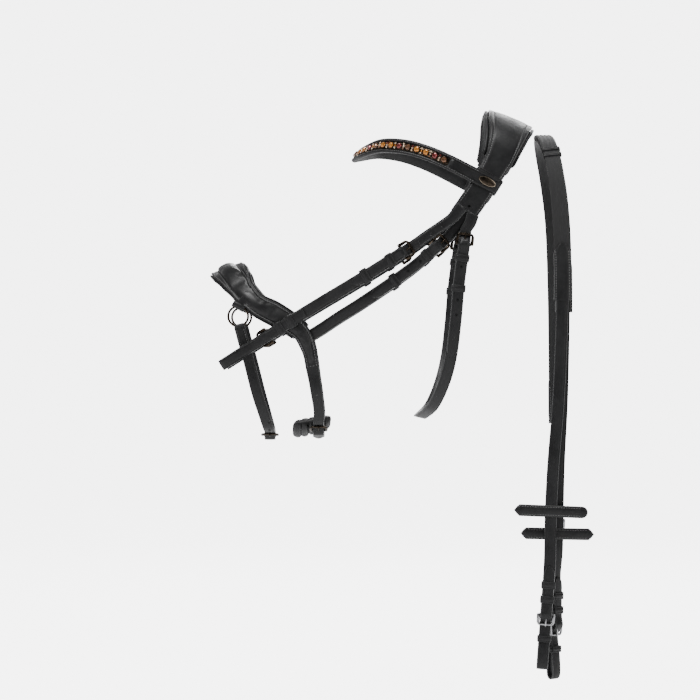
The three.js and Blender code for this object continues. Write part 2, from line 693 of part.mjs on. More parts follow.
// the hand end of the left rein, from its buckle back up the strap
const leftHand = new Path(facing([[72, 114.5, -505], [72, 114.5, -470], [72, 114.5, -400]], FORWARD));
// the right rein twists below its stop, and its hand end goes through the left's buckle
const rightRein = new Path([
  ...facing([[58, -92, -626], [58.5, -94, -562]], [0.7, 0.71, 0]),
  ...facing([
    [59, -98, -528], [59.5, -98, -500], [61, -100, -427], [65, -102, -340], [67, -103, -190],
    [64, -99, -110], [58, -86, -60], [50, -54, -26], [46, 0, -14.5], [50, 54, -26], [58, 86, -60],
    [66, 101, -110], [70, 106, -200], [72, 106.5, -400], [72, 106.5, -520], [72, 106.5, -548],
    [72, 109.6, -556], [72, 112.2, -548], [72, 111.6, -524],
    ...throughBuckle(leftHand, 40).slice(1).map(([point]) => point),
  ], BACKWARD),
]);

function reinWidth(tip) {
  return (distance) => {
    const inWeb = distance > REIN.webStart && distance < REIN.webEnd;
    return (inWeb ? REIN.web : STRAP.width) * tip(distance);
  };
}

// rein strap with a folded heel at its bit end, two keepers and its sewn billet
function rein(path, tip) {
  const body = strap(path, {
    width: reinWidth(tip),
    thick: STRAP.thick,
    extra: [REIN.webStart, REIN.webEnd, ...tipMarks(path.length)],
  });
  return joined([
    foldedEnd(body, path),
    ...[18, 36].map((up) => doubleKeeper(path, up)),
    sewnLoop(path, { sewn: 62, tail: 60, end: -68, belly: 2.5 }),
  ]);
}

const handKeeper = fixedKeeper(leftHand, 18);
addSolid('rein_left', foldedEnd(rein(leftRein, () => 1), leftHand).add(handKeeper), webbing);
const handTip = tipped(BILLET.width / STRAP.width, rightRein.length);
const handBillet = (distance) => (distance < REIN.webEnd ? 1 : handTip(distance));
addSolid('rein_right', cut(rein(rightRein, handBillet), [
  block(leftHand, -6, 1.5, HEEL.slot, 11, 12),
]), webbing);
addSolid('hand_buckle', toSolid(buckleFrame(leftHand)), steel);
addSolid('hand_tongue', toSolid(buckleTongue(leftHand)), steel);

// a leather bar across the rein, pointed at the front and round at the back
function reinStop(path, distance) {
  const half = REIN_STOP.length / 2;
  const high = REIN_STOP.height / 2;
  const shoulder = REIN_STOP.point - half;
  const outline = new THREE.Shape();
  outline.moveTo(shoulder, -high);
  outline.lineTo(half - high, -high);
  outline.absarc(half - high, 0, high, -Math.PI / 2, Math.PI / 2, false);
  outline.lineTo(shoulder, high);
  outline.lineTo(-half, 0);
  outline.closePath();
  const body = new THREE.ExtrudeGeometry(outline, {
    depth: REIN_STOP.thick, bevelEnabled: false, curveSegments: 5,
  });
  body.translate(0, 0, -REIN_STOP.thick / 2).rotateX(Math.PI / 2);
  const passage = block(
    path, distance, 0, STRAP.width + 3, REIN_STOP.passage, REIN_STOP.height * 2);
  return toSolid(path.place(body, distance)).subtract(passage);
}
addSolid('rein_stop_left', reinStop(leftRein, 128), leather);
addSolid('rein_stop_right', reinStop(rightRein, 114), leather);
for (const [side, path] of [['left', leftRein], ['right', rightRein]]) {
  addSolid(`rein_buckle_${side}`, toSolid(buckleFrame(path)), steel);
  addSolid(`rein_tongue_${side}`, toSolid(buckleTongue(path)), steel);
}

export default bridle;
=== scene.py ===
import math
import random

import bmesh
import bpy
from mathutils import Matrix, Vector


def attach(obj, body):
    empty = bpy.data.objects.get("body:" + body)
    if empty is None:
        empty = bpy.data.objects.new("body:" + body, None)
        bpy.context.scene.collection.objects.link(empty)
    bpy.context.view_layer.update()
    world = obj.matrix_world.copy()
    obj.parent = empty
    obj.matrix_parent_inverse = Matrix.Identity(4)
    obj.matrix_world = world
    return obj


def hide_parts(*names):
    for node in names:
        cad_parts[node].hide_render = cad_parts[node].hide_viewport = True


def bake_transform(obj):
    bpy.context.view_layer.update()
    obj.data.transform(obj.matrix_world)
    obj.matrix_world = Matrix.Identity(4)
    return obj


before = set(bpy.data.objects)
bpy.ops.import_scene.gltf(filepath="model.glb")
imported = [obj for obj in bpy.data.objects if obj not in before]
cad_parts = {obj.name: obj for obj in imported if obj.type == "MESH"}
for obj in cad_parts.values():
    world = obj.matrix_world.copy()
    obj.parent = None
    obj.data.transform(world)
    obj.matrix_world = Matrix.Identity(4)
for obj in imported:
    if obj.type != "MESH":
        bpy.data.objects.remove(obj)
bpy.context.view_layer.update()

random.seed(7)

# ------------------------------------------------------------ dimensions, in millimetres
MM = 0.001
STRAP_WIDTH, STRAP_THICK = 15.0, 2.4
BILLET_WIDTH, BILLET_THICK = 14.0, 2.2
OVER_STRAP, OVER_HEEL, UNDER_BAR = 2.75, 4.95, -2.95
CHEEK_LAYER, NOSE_LAYER = 15.3, 4.9
CROWN_LIFT = 12.3
STITCH_PITCH, STITCH_LENGTH = 3.2, 2.3
STITCH_CORNERS = (0.4, 1.57, 2.74, 4.71)  # where round a stitch its four corners lie, in radians
SECTION_TURN = 0.12  # the most that a swept strap turns between two cross-sections, in radians
STRAP_DOME, CREASE_DEPTH = 0.12, 0.28
HOLE_RADIUS, CUTTER_REACH = 1.75, 16
CLOTH_FRAMES, CLOTH_PRESSURE, CLOTH_MASS = 20, 40.0, 0.001
CLOTH_GROWTH, CLOTH_CAP = 0.012, 0.9  # share that the cover is cut too large; the most it may move


# ------------------------------------------------------------ materials
def new_material(name):
    material = bpy.data.materials.new(name)
    material.use_nodes = True
    nodes = material.node_tree.nodes
    return material, nodes, material.node_tree.links, nodes["Principled BSDF"]


def ramp(nodes, links, source, low, high, start=0.35, end=0.65):
    """A colour ramp from low to high, driven by a 0-1 value."""
    node = nodes.new("ShaderNodeValToRGB")
    node.color_ramp.elements[0].position = start
    node.color_ramp.elements[1].position = end
    node.color_ramp.elements[0].color = (*low, 1)
    node.color_ramp.elements[1].color = (*high, 1)
    links.new(source, node.inputs["Fac"])
    return node.outputs["Color"]


def texture(nodes, links, kind, scale, **values):
    """A procedural texture in the object's own coordinates."""
    place = nodes.new("ShaderNodeTexCoord")
    node = nodes.new(kind)
    node.inputs["Scale"].default_value = scale
    for name, value in values.items():
        node.inputs[name].default_value = value
    links.new(place.outputs["Object"], node.inputs["Vector"])
    return node


def bump(nodes, links, height, shader, distance, strength, below=None):
    node = nodes.new("ShaderNodeBump")
    node.inputs["Distance"].default_value = distance
    node.inputs["Strength"].default_value = strength
    links.new(height, node.inputs["Height"])
    if below is not None:
        links.new(below, node.inputs["Normal"])
    links.new(node.outputs["Normal"], shader.inputs["Normal"])
    return node.outputs["Normal"]


def leather(name, dark, light, rough, grain=1500.0, wear=0.5, coat=0.06):
    """Grained leather: pebbles, soft mottling, and edges that are worn a little lighter."""
    material, nodes, links, shader = new_material(name)
    mottle = texture(nodes, links, "ShaderNodeTexNoise", 45.0, Detail=5.0, Roughness=0.6)
    colour = ramp(nodes, links, mottle.outputs["Fac"], dark, light)
    pebbles = texture(nodes, links, "ShaderNodeTexVoronoi", grain)
    creases = texture(nodes, links, "ShaderNodeTexNoise", grain * 0.35, Detail=6.0)
    edge = nodes.new("ShaderNodeNewGeometry")
    worn = ramp(nodes, links, edge.outputs["Pointiness"], (0, 0, 0), (wear,) * 3, 0.53, 0.62)
    mix = nodes.new("ShaderNodeMix")
    mix.data_type = "RGBA"
    links.new(worn, mix.inputs["Factor"])
    links.new(colour, mix.inputs["A"])
    mix.inputs["B"].default_value = (*(3.2 * v + 0.012 for v in light), 1)
    links.new(mix.outputs["Result"], shader.inputs["Base Color"])
    gloss = ramp(nodes, links, mottle.outputs["Fac"], (rough - 0.07,) * 3, (rough + 0.1,) * 3)
    links.new(gloss, shader.inputs["Roughness"])
    first = bump(nodes, links, creases.outputs["Fac"], shader, 0.0002, 0.35)
    bump(nodes, links, pebbles.outputs["Distance"], shader, 0.0001, 0.3, first)
    shader.inputs["Specular IOR Level"].default_value = 0.3
    shader.inputs["Sheen Weight"].default_value = 0.03
    shader.inputs["Coat Weight"].default_value = coat
    shader.inputs["Coat Roughness"].default_value = 0.25
    return material


def woven(name, dark, light):
    """Cotton web: a fine plain weave with a soft sheen."""
    material, nodes, links, shader = new_material(name)
    place = nodes.new("ShaderNodeTexCoord")
    bands = []
    for axis in ("Z", "X"):
        wave = nodes.new("ShaderNodeTexWave")
        wave.bands_direction = axis
        wave.inputs["Scale"].default_value = 380.0
        wave.inputs["Distortion"].default_value = 0.6
        links.new(place.outputs["Object"], wave.inputs["Vector"])
        bands.append(wave.outputs["Fac"])
    weave = nodes.new("ShaderNodeMath")
    weave.operation = "MULTIPLY"
    links.new(bands[0], weave.inputs[0])
    links.new(bands[1], weave.inputs[1])
    links.new(ramp(nodes, links, weave.outputs[0], dark, light, 0.1, 0.9),
              shader.inputs["Base Color"])
    bump(nodes, links, weave.outputs[0], shader, 0.0003, 0.6)
    shader.inputs["Roughness"].default_value = 0.82
    shader.inputs["Sheen Weight"].default_value = 0.35
    return material


def metal(name, dark, light, rough):
    """Cast and polished metal with faint cloudy wear in its tone and gloss."""
    material, nodes, links, shader = new_material(name)
    cloud = texture(nodes, links, "ShaderNodeTexNoise", 160.0, Detail=5.0)
    links.new(ramp(nodes, links, cloud.outputs["Fac"], dark, light), shader.inputs["Base Color"])
    links.new(ramp(nodes, links, cloud.outputs["Fac"], (rough * 0.7,) * 3, (rough * 1.4,) * 3),
              shader.inputs["Roughness"])
    bump(nodes, links, cloud.outputs["Fac"], shader, 0.0001, 0.12)
    shader.inputs["Metallic"].default_value = 1.0
    return material


def thread(name, dark, light):
    material, nodes, links, shader = new_material(name)
    twist = texture(nodes, links, "ShaderNodeTexNoise", 2600.0, Detail=2.0)
    links.new(ramp(nodes, links, twist.outputs["Fac"], dark, light), shader.inputs["Base Color"])
    bump(nodes, links, twist.outputs["Fac"], shader, 0.0001, 0.5)
    shader.inputs["Roughness"].default_value = 0.7
    return material


def crystal(name, deep, bright):
    """Foiled glass stone: colour clouds under a hard clear surface."""
    material, nodes, links, shader = new_material(name)
    depth = texture(nodes, links, "ShaderNodeTexVoronoi", 420.0)
    links.new(ramp(nodes, links, depth.outputs["Distance"], deep, bright, 0.1, 0.8),
              shader.inputs["Base Color"])
    shader.inputs["Roughness"].default_value = 0.06
    shader.inputs["Metallic"].default_value = 0.55
    shader.inputs["Coat Weight"].default_value = 1.0
    shader.inputs["Coat Roughness"].default_value = 0.02
    return material


LEATHER = leather("strap_leather", (0.0045, 0.0045, 0.005), (0.0095, 0.0095, 0.01), 0.4)
SOFT = leather("pad_leather", (0.004, 0.004, 0.0045), (0.009, 0.009, 0.0095), 0.46, 900.0, 0.2)
NAPPA = leather("smooth_leather", (0.006, 0.006, 0.0065), (0.0125, 0.0125, 0.013), 0.36, 2300.0, 0.2, 0.12)
EDGE = leather("burnished_edge", (0.007, 0.007, 0.0075), (0.015, 0.015, 0.0155), 0.24, 2300.0, 0.2, 0.7)
WEB = woven("rein_web", (0.0025, 0.0025, 0.003), (0.01, 0.01, 0.0105))
THREAD = thread("grey_thread", (0.07, 0.07, 0.071), (0.17, 0.17, 0.172))
BRONZE = metal("dark_bronze", (0.014, 0.012, 0.010), (0.06, 0.045, 0.032), 0.17)
RIM = metal("bright_bronze", (0.17, 0.14, 0.11), (0.34, 0.28, 0.21), 0.18)
STEEL = metal("bright_steel", (0.26, 0.26, 0.27), (0.5, 0.5, 0.51), 0.14)
STONES = [
    crystal("topaz", (0.2, 0.05, 0.004), (0.8, 0.3, 0.03)),
    crystal("smoked_quartz", (0.04, 0.015, 0.006), (0.26, 0.11, 0.045)),
    crystal("garnet", (0.045, 0.003, 0.003), (0.24, 0.015, 0.012)),
]
SPARK = crystal("pale_stone", (0.4, 0.25, 0.16), (0.95, 0.75, 0.55))


# ------------------------------------------------------------ paths
def smooth(value, low, high):
    t = min(max((value - low) / (high - low), 0.0), 1.0)
    return t * t * (3 - 2 * t)


def head_width(x, z):
    """Half the head's width: it tapers along the head's own axis, from the cheeks to the mouth."""
    taper = min(max((-0.84 * x - 0.54 * z - 150) / 330, 0.0), 1.0)
    return 56 + 38 * (0.5 + 0.5 * math.cos(math.pi * taper))


def on_head(x, z, lift):
    return (x, head_width(x, z) + lift, z)


def spline_point(points, place):
    """Centripetal Catmull-Rom through the points; place counts in points."""
    first = min(int(place), len(points) - 2)
    share = place - first
    p1, p2 = points[first], points[first + 1]
    p0 = points[first - 1] if first else p1 * 2 - p2
    p3 = points[first + 2] if first + 2 < len(points) else p2 * 2 - p1
    gaps = [max((b - a).length ** 0.5, 1e-4) for a, b in ((p0, p1), (p1, p2), (p2, p3))]
    t1 = (p1 - p0) / gaps[0] - (p2 - p0) / (gaps[0] + gaps[1]) + (p2 - p1) / gaps[1]
    t2 = (p2 - p1) / gaps[1] - (p3 - p1) / (gaps[1] + gaps[2]) + (p3 - p2) / gaps[2]
    t1, t2 = t1 * gaps[1], t2 * gaps[1]
    c2 = p2 * 3 - p1 * 3 - t1 * 2 - t2
    c3 = p1 * 2 - p2 * 2 + t1 + t2
    return p1 + t1 * share + c2 * share ** 2 + c3 * share ** 3


class Path:
    """A smooth line with an outward and an across direction at every distance along it."""

    FINE = 24  # samples between two stops

    def __init__(self, stops, outward=False):
        self.outward = outward
        self.stops = [(Vector(point), Vector(direction)) for point, direction in stops]
        points = [point for point, _ in self.stops]
        count = (len(points) - 1) * self.FINE
        self.samples = [spline_point(points, i / self.FINE) for i in range(count + 1)]
        self.gone = [0.0]
        for a, b in zip(self.samples, self.samples[1:]):
            self.gone.append(self.gone[-1] + (b - a).length)
        self.length = self.gone[-1]

    def place_of(self, distance):
        low, high = 0, len(self.gone) - 1
        while high - low > 1:
            middle = (low + high) // 2
            if self.gone[middle] <= distance:
                low = middle
            else:
                high = middle
        share = (distance - self.gone[low]) / max(self.gone[high] - self.gone[low], 1e-9)
        return low + min(max(share, 0.0), 1.0)

    def frame(self, distance):
        """(point, along, out, across); the path runs on straight beyond its ends."""
        inside = min(max(distance, 0.0), self.length)
        place = self.place_of(inside)
        low = min(int(place), len(self.samples) - 2)
        point = self.samples[low].lerp(self.samples[low + 1], place - low)
        before, after = self.samples[max(low - 1, 0)], self.samples[min(low + 2, len(self.samples) - 1)]
        along = (after - before).normalized()
        point = point + along * (distance - inside)
        stop = place / self.FINE
        first = min(int(stop), len(self.stops) - 2)
        given = self.stops[first][1].lerp(self.stops[first + 1][1], stop - first)
        given = (given - along * given.dot(along)).normalized()
        out = given if self.outward else given.cross(along)
        return point, along, out, along.cross(out)

    def at(self, distance, lift=0.0, side=0.0):
        point, _, out, across = self.frame(distance)
        return point + out * lift + across * side

    def across(self, distance):
        return self.frame(distance)[3]


def mirror_stops(stops):
    return [((x, -y, z), (a, -b, c)) for (x, y, z), (a, b, c) in stops]


def both_sides(stops):
    """The right-hand half's stops carried on over the middle to the left."""
    stops = [(tuple(point), tuple(direction)) for point, direction in stops]
    half = stops[:-1] if stops[-1][0][1] == 0 else stops
    return stops + mirror_stops(half)[::-1]


def facing(points, direction):
    return [(point, direction) for point in points]


def through_buckle(path, tail):
    """Stops of a billet that comes under the far bar, over the heel and along the strap."""
    course = [(-19, UNDER_BAR), (-12.4, UNDER_BAR), (-7.2, 0.4), (-3.5, 3.9), (0, OVER_HEEL),
              (5, 4.0), (10, OVER_STRAP + 0.4)]
    rest = math.ceil((tail - 10) / 16)
    course += [(10 + (tail - 10) * i / rest, OVER_STRAP) for i in range(1, rest + 1)]
    return [(path.at(d, lift), path.across(d)) for d, lift in course]


def loop_stops(path, sewn, tail, end, belly):
    """A billet sewn on the back, turned round the ring's place and up through the buckle."""
    course = [(sewn, -OVER_STRAP), (sewn / 2 + 4, -OVER_STRAP), (9, -OVER_STRAP), (4, -3.5),
              (0, -OVER_HEEL), (-7, -5.2), (-20, -5.6 - belly / 2), (end * 0.62, -6 - belly),
              (end + 3, -4.5 - belly), (end, -2 - belly / 2), (end + 3, 0.5), (end * 0.62, 0.5)]
    return [(path.at(d, lift), path.across(d)) for d, lift in course] + through_buckle(path, tail)


# ------------------------------------------------------------ the bridle's lines
TILT_SIDE, TILT_POLL = (0.85, 0, -0.52), (0.926, 0, -0.377)
CROWN = Path(both_sides([
    ((-54, 94, -107), TILT_SIDE), ((-42, 94, -90), TILT_SIDE), ((-30, 92, -72), TILT_SIDE),
    ((-16, 84, -48), TILT_SIDE), ((-8, 68, -26), (0.9, 0, -0.43)), ((-3, 42, -8), TILT_POLL),
    ((0, 20, 0), TILT_POLL), ((0, 7, 0), TILT_POLL)])[::-1])
BAND_SIDE = (-0.42, 0, -0.9)
BROW = Path(both_sides([
    ((-30, 109.2, -72), (-0.52, 0, -0.85)), ((-46, 111, -64), (-0.45, 0, -0.88)),
    ((-79, 107, -47), BAND_SIDE), ((-104, 99, -36), BAND_SIDE), ((-130, 86, -28), (-0.4, 0, -0.91)),
    ((-161, 61, -25), (-0.5, 0, -0.86)), ((-184, 28, -31), (-0.6, 0, -0.8)),
    ((-191, 0, -34), (-0.6, 0, -0.8))]))
CHEEK = Path(facing([
    on_head(-135, -161, CHEEK_LAYER), on_head(-181, -190, CHEEK_LAYER),
    on_head(-256, -235, CHEEK_LAYER), on_head(-302, -264, CHEEK_LAYER)], (0, 1, 0)), True)
DOWN_BACK, BACKWARD, FORWARD = (0.54, 0, -0.84), (1, 0, 0), (-1, 0, 0)
CHEEK_BILLET = Path(
    [(on_head(-63, -106, CROWN_LIFT), TILT_SIDE), (on_head(-72, -117.5, CROWN_LIFT), (0.7, 0, -0.7))]
    + facing([on_head(-86, -128, CROWN_LIFT), on_head(-103, -139.5, CROWN_LIFT)], DOWN_BACK)
    + through_buckle(CHEEK, 74))
BIT = Path(facing([CHEEK.at(CHEEK.length - d) for d in (0, 30, 60)], (0, -1, 0)), True)
BIT_BILLET = Path(loop_stops(BIT, 54, 34, -71, 1.5))
HANGER = Path(facing([
    on_head(-91, -153, NOSE_LAYER), on_head(-120, -178, NOSE_LAYER), on_head(-184, -222.5, NOSE_LAYER),
    on_head(-215, -242, 2.6), on_head(-236, -256, 0.2), on_head(-254, -267, -0.4)], (0, 1, 0)), True)
NOSEBAND_BILLET = Path(
    facing([on_head(-54.5, -112, 3.1), on_head(-64, -125, 2.7)], (0.72, 0, -0.69))
    + through_buckle(HANGER, 104))
CHIN_STOPS = facing([(-240, 30, -385), (-240, 15, -391), (-240, 0, -393)], BACKWARD)
CHIN = Path(both_sides(CHIN_STOPS))
CHIN_PAD = Path(both_sides(facing([(-248, 26, -371.5), (-249, 14, -379.5), (-249, 0, -384.2)],
                                  (0.96, 0, 0.28))))
NOSE_LIFT = 5.1
NOSE = Path(both_sides(
    [(point, FORWARD) for point, _ in reversed(through_buckle(CHIN, 20))] + [
        ((-239, 57, -362), FORWARD),
        *((on_head(x, z, NOSE_LIFT), (ahead, 0, up)) for x, z, ahead, up in (
            (-242, -338, -1, -0.1), (-247, -308, -1, -0.1), (-252, -282, -0.95, -0.3),
            (-261, -262, -0.78, -0.63), (-277, -248, -0.56, -0.83), (-297, -236, -0.52, -0.86),
            (-316, -226, -0.66, -0.75))),
        ((-333, 59, -210), (-0.82, 0, -0.57)), ((-345, 42, -193), (-0.9, 0, -0.42)),
        ((-354, 22, -182), (-0.94, 0, -0.35)), ((-358, 0, -178), (-0.94, 0, -0.35))]))
RING_CENTRE = Vector((-341, head_width(-341, -240) + 5, -240))
RING_RADIUS, RING_WIRE = 12.5, 1.5
LOWER_SIDE = [on_head(-317, -338, 4.5), on_head(-328, -295, 5), on_head(-335.5, -268, 5),
              (RING_CENTRE.x + 1.5, RING_CENTRE.y, RING_CENTRE.z - RING_RADIUS)]
LOWER = Path(facing([(-302, -14, -391), (-302, 4, -393), (-302.5, 20, -390.5), (-304, 38, -383),
                     (-309, 53, -366)] + LOWER_SIDE, FORWARD))
LOWER_BILLET = Path(
    [(point, BACKWARD) for point, _ in reversed(through_buckle(LOWER, 22))]
    + facing([(-304, -45, -379.5), (-309, -56, -363)] + [(x, -y, z) for x, y, z in LOWER_SIDE],
             BACKWARD))
THROAT = Path(both_sides([
    (on_head(-57.5, -151, CHEEK_LAYER), BACKWARD), (on_head(-64, -199, CHEEK_LAYER), BACKWARD),
    (on_head(-68, -245, 14), BACKWARD), ((-74, 99, -293), BACKWARD), ((-82, 86, -324), BACKWARD),
    ((-95, 56, -353), (0.97, 0, -0.24)), ((-108, 22, -366), (0.97, 0, -0.24)),
    ((-111, 0, -368), (0.97, 0, -0.24))]))
THROAT_BILLET = Path(
    [(on_head(-47.3, -115.7, CROWN_LIFT), (0.95, 0, -0.3)), (on_head(-50, -124, CROWN_LIFT), BACKWARD)]
    + through_buckle(THROAT, 142))
LEFT_REIN = Path(facing([
    (44, -118, -611), (48.5, -117, -549), (50, -116, -484), (53, -114, -427), (60, -113, -340),
    (65, -112, -190), (62, -107, -110), (57, -93, -56), (50, -58, -20), (46, 0, -8.5),
    (50, 58, -20), (58, 94, -56), (66, 110, -110), (70, 114, -200), (72, 114.5, -400),
    (72, 114.5, -505)], BACKWARD))
LEFT_HAND = Path(facing([(72, 114.5, -505), (72, 114.5, -470), (72, 114.5, -400)], FORWARD))
RIGHT_REIN = Path(
    facing([(58, -92, -626), (58.5, -94, -562)], (0.7, 0.71, 0))
    + facing([
        (59, -98, -528), (59.5, -98, -500), (61, -100, -427), (65, -102, -340), (67, -103, -190),
        (64, -99, -110), (58, -86, -60), (50, -54, -26), (46, 0, -14.5), (50, 54, -26),
        (58, 86, -60), (66, 101, -110), (70, 106, -200), (72, 106.5, -400), (72, 106.5, -520),
        (72, 106.5, -548), (72, 109.6, -556), (72, 112.2, -548), (72, 111.6, -524)]
        + [point for point, _ in through_buckle(LEFT_HAND, 40)[1:]], BACKWARD))


# ------------------------------------------------------------ surfaces
def frame_matrix(path, distance, lift=0.0, side=0.0):
    """Places a fitting drawn with x across, y outward and z back along the strap."""
    point, along, out, across = path.frame(distance)
    point = point + out * lift + across * side
    matrix = Matrix((across, out, -along)).transposed().to_4x4()
    matrix.translation = point
    return matrix


class Shape:
    """The surfaces of one piece in millimetres, each with its material."""

    def __init__(self):
        self.points = []
        self.faces = []
        self.marks = []
        self.materials = []

    def add(self, points, faces, material):
        if material not in self.materials:
            self.materials.append(material)
        start = len(self.points)
        self.points.extend(Vector(point) for point in points)
        self.faces.extend(tuple(start + i for i in face) for face in faces)
        self.marks.extend([self.materials.index(material)] * len(faces))

    def rings(self, rings, material, closed=False, edge=()):
        """Skins equal-length rings of points; closed joins the last ring to the first.

        Strips of the section listed in edge get the burnished finish of a cut leather edge.
        """
        size = len(rings[0])
        points = [point for ring in rings for point in ring]
        last = len(rings) if closed else len(rings) - 1
        faces = []
        for i in range(last):
            here, there = i * size, ((i + 1) % len(rings)) * size
            for j in range(size):
                k = (j + 1) % size
                faces.append((here + j, here + k, there + k, there + j))
        if not closed:
            faces.append(tuple(range(size))[::-1])
            faces.append(tuple(range(len(points) - size, len(points))))
        start = len(self.marks)
        self.add(points, faces, material)
        if edge:
            self.add([], [], EDGE)
            finish = self.materials.index(EDGE)
            for i in range(last * size):
                if i % size in edge:
                    self.marks[start + i] = finish

    def mesh(self, name, mirror=False):
        """A mesh object in metres; the mirror image lies on the horse's left."""
        flip = -1 if mirror else 1
        mesh = bpy.data.meshes.new(name)
        points = [(p.x * MM, flip * p.y * MM, p.z * MM) for p in self.points]
        mesh.from_pydata(points, [], self.faces)
        for material in self.materials:
            mesh.materials.append(material)
        mesh.polygons.foreach_set("material_index", self.marks)
        mesh.update()
        tidy = bmesh.new()
        tidy.from_mesh(mesh)
        bmesh.ops.recalc_face_normals(tidy, faces=tidy.faces)
        tidy.to_mesh(mesh)
        tidy.free()
        mesh.shade_smooth()
        mesh.set_sharp_from_angle(angle=math.radians(48))
        piece = bpy.data.objects.new(name, mesh)
        bpy.context.scene.collection.objects.link(piece)
        return piece


def marks_along(path, start, end, step):
    """Distances for cross-sections: close in bends, at most a step apart elsewhere."""
    marks = [start]
    last = path.frame(start)
    distance = start + 0.5
    while distance < end - 0.3:
        here = path.frame(distance)
        turned = here[1].angle(last[1], 0.0) + here[2].angle(last[2], 0.0)
        if distance - marks[-1] >= step or turned > SECTION_TURN:
            marks.append(distance)
            last = here
        distance += 0.5
    return marks + [end]


def value(given, distance):
    return given(distance) if callable(given) else given


def circle(count):
    """The angles of evenly spaced points round a circle."""
    return [2 * math.pi * i / count for i in range(count)]


def disc(matrix, radius, height, count):
    """Points round a fitting's outward axis."""
    return [matrix @ Vector((radius * math.cos(a), height, radius * math.sin(a)))
            for a in circle(count)]


def hoop(matrix, x, radius, count):
    """Points round a fitting's across axis."""
    return [matrix @ Vector((x, radius * math.cos(a), radius * math.sin(a)))
            for a in circle(count)]


def sweep(shape, path, start, end, section, material, step=4.0, extra=(), edge=()):
    """Sweeps section(distance), a loop of (across, outward) points, along the path."""
    marks = marks_along(path, start, end, step)
    marks = sorted(set(marks) | {mark for mark in extra if start < mark < end})
    rings = []
    for distance in marks:
        point, _, out, across = path.frame(distance)
        rings.append([point + across * x + out * y for x, y in section(distance)])
    shape.rings(rings, material, edge=edge)


def strap_section(width, thick, lift, side):
    """A strap with rounded edges, a creased line near each edge and a slightly domed face."""
    half, top = width / 2, thick / 2
    inset = min(1.9, half * 0.3)
    right = [(half - 0.75, -top), (half - 0.2, -top + 0.45), (half, 0), (half - 0.12, top * 0.5),
             (half - 0.5, top), (half - inset + 0.45, top + 0.02), (half - inset, top - CREASE_DEPTH),
             (half - inset - 0.45, top), (half * 0.4, top + STRAP_DOME)]
    loop = right + [(-x, y) for x, y in reversed(right)]
    return [(x + side, y + lift) for x, y in loop]


STRAP_EDGE = (0, 1, 2, 3, 13, 14, 15, 16)  # the strips of strap_section that are its cut edges


def tipped(width, end, length=13.0):
    """Full width that rounds off to a blunt point over the last stretch before the end."""
    def at(distance):
        left = min(max(abs(end - distance) / length, 0.0), 1.0)
        return width * (0.1 + 0.9 * (1 - (1 - left) ** 2) ** 0.62)
    return at


def strap(shape, path, start, end, width, thick, material=LEATHER, lift=0.0, side=0.0, extra=()):
    """A flat strap; width, thick, lift and side may each change along the path."""
    sweep(shape, path, start, end, lambda d: strap_section(
        value(width, d), value(thick, d), value(lift, d), value(side, d)), material,
        extra=extra, edge=() if material is BRONZE else STRAP_EDGE)


def tip_marks(end, inward=-1):
    """Close distances for the cross-sections of a rounded tip."""
    return [end + inward * back for back in (0.25, 0.8, 1.8, 3.2, 5.0, 7.0, 9.0, 11.0, 13.0)]


def stitches(shape, path, start, end, side, lift, size=0.5):
    """A row of stitches along the path; side and lift may change along it."""
    count = max(int(abs(end - start) / STITCH_PITCH), 1)
    for i in range(count):
        middle = start + (end - start) * (i + 0.5) / count
        rings = []
        for along, radius, sink in ((-0.5, 0.25, -0.3), (-0.32, 0.85, 0), (0.32, 0.85, 0),
                                    (0.5, 0.25, -0.3)):
            distance = middle + along * STITCH_LENGTH
            point, _, out, across = path.frame(distance)
            point = point + across * value(side, distance)
            point = point + out * (value(lift, distance) + sink * size)
            rings.append([point + (across * math.cos(a) + out * math.sin(a)) * size * radius
                          for a in STITCH_CORNERS])
        shape.rings(rings, THREAD)


def cross_stitches(shape, path, distance, half, lift):
    """A short row of stitches across the strap."""
    count = max(int(2 * half / STITCH_PITCH), 1)
    for i in range(count):
        x = -half + (i + 0.5) * 2 * half / count
        point, along, out, across = path.frame(distance)
        point = point + out * lift
        rings = []
        for shift, radius, sink in ((-0.5, 0.12, -0.12), (-0.32, 0.36, 0), (0.32, 0.36, 0),
                                    (0.5, 0.12, -0.12)):
            middle = point + across * (x + shift * STITCH_LENGTH) + out * sink
            rings.append([middle + (along * math.cos(a) + out * math.sin(a)) * radius
                          for a in STITCH_CORNERS])
        shape.rings(rings, THREAD)


def tube(shape, points, radius, material, closed=False, sides=10, flat=1.0, up=None):
    """A round bar along points; radius may be one value or one for each point."""
    points = [Vector(point) for point in points]
    count = len(points)
    rings = []
    for i, point in enumerate(points):
        before = points[(i - 1) % count] if closed or i else point
        after = points[(i + 1) % count] if closed or i < count - 1 else point
        along = (after - before).normalized()
        guide = up or Vector((0.31, 0.87, 0.38))
        first = (guide - along * guide.dot(along)).normalized()
        second = along.cross(first)
        size = radius[i] if isinstance(radius, (list, tuple)) else radius
        rings.append([point + first * size * flat * math.sin(2 * math.pi * j / sides)
                      + second * size * math.cos(2 * math.pi * j / sides) for j in range(sides)])
    shape.rings(rings, material, closed)


def rounded_loop(left, right, low, high, corner, steps=4):
    """Points of a rounded rectangle with the outward direction at each."""
    loop = []
    for cx, cy, turn in ((right - corner, high - corner, 0), (left + corner, high - corner, 1),
                         (left + corner, low + corner, 2), (right - corner, low + corner, 3)):
        for i in range(steps + 1):
            angle = (turn + i / steps) * math.pi / 2
            normal = (math.cos(angle), math.sin(angle))
            loop.append(((cx + corner * normal[0], cy + corner * normal[1]), normal))
    return loop


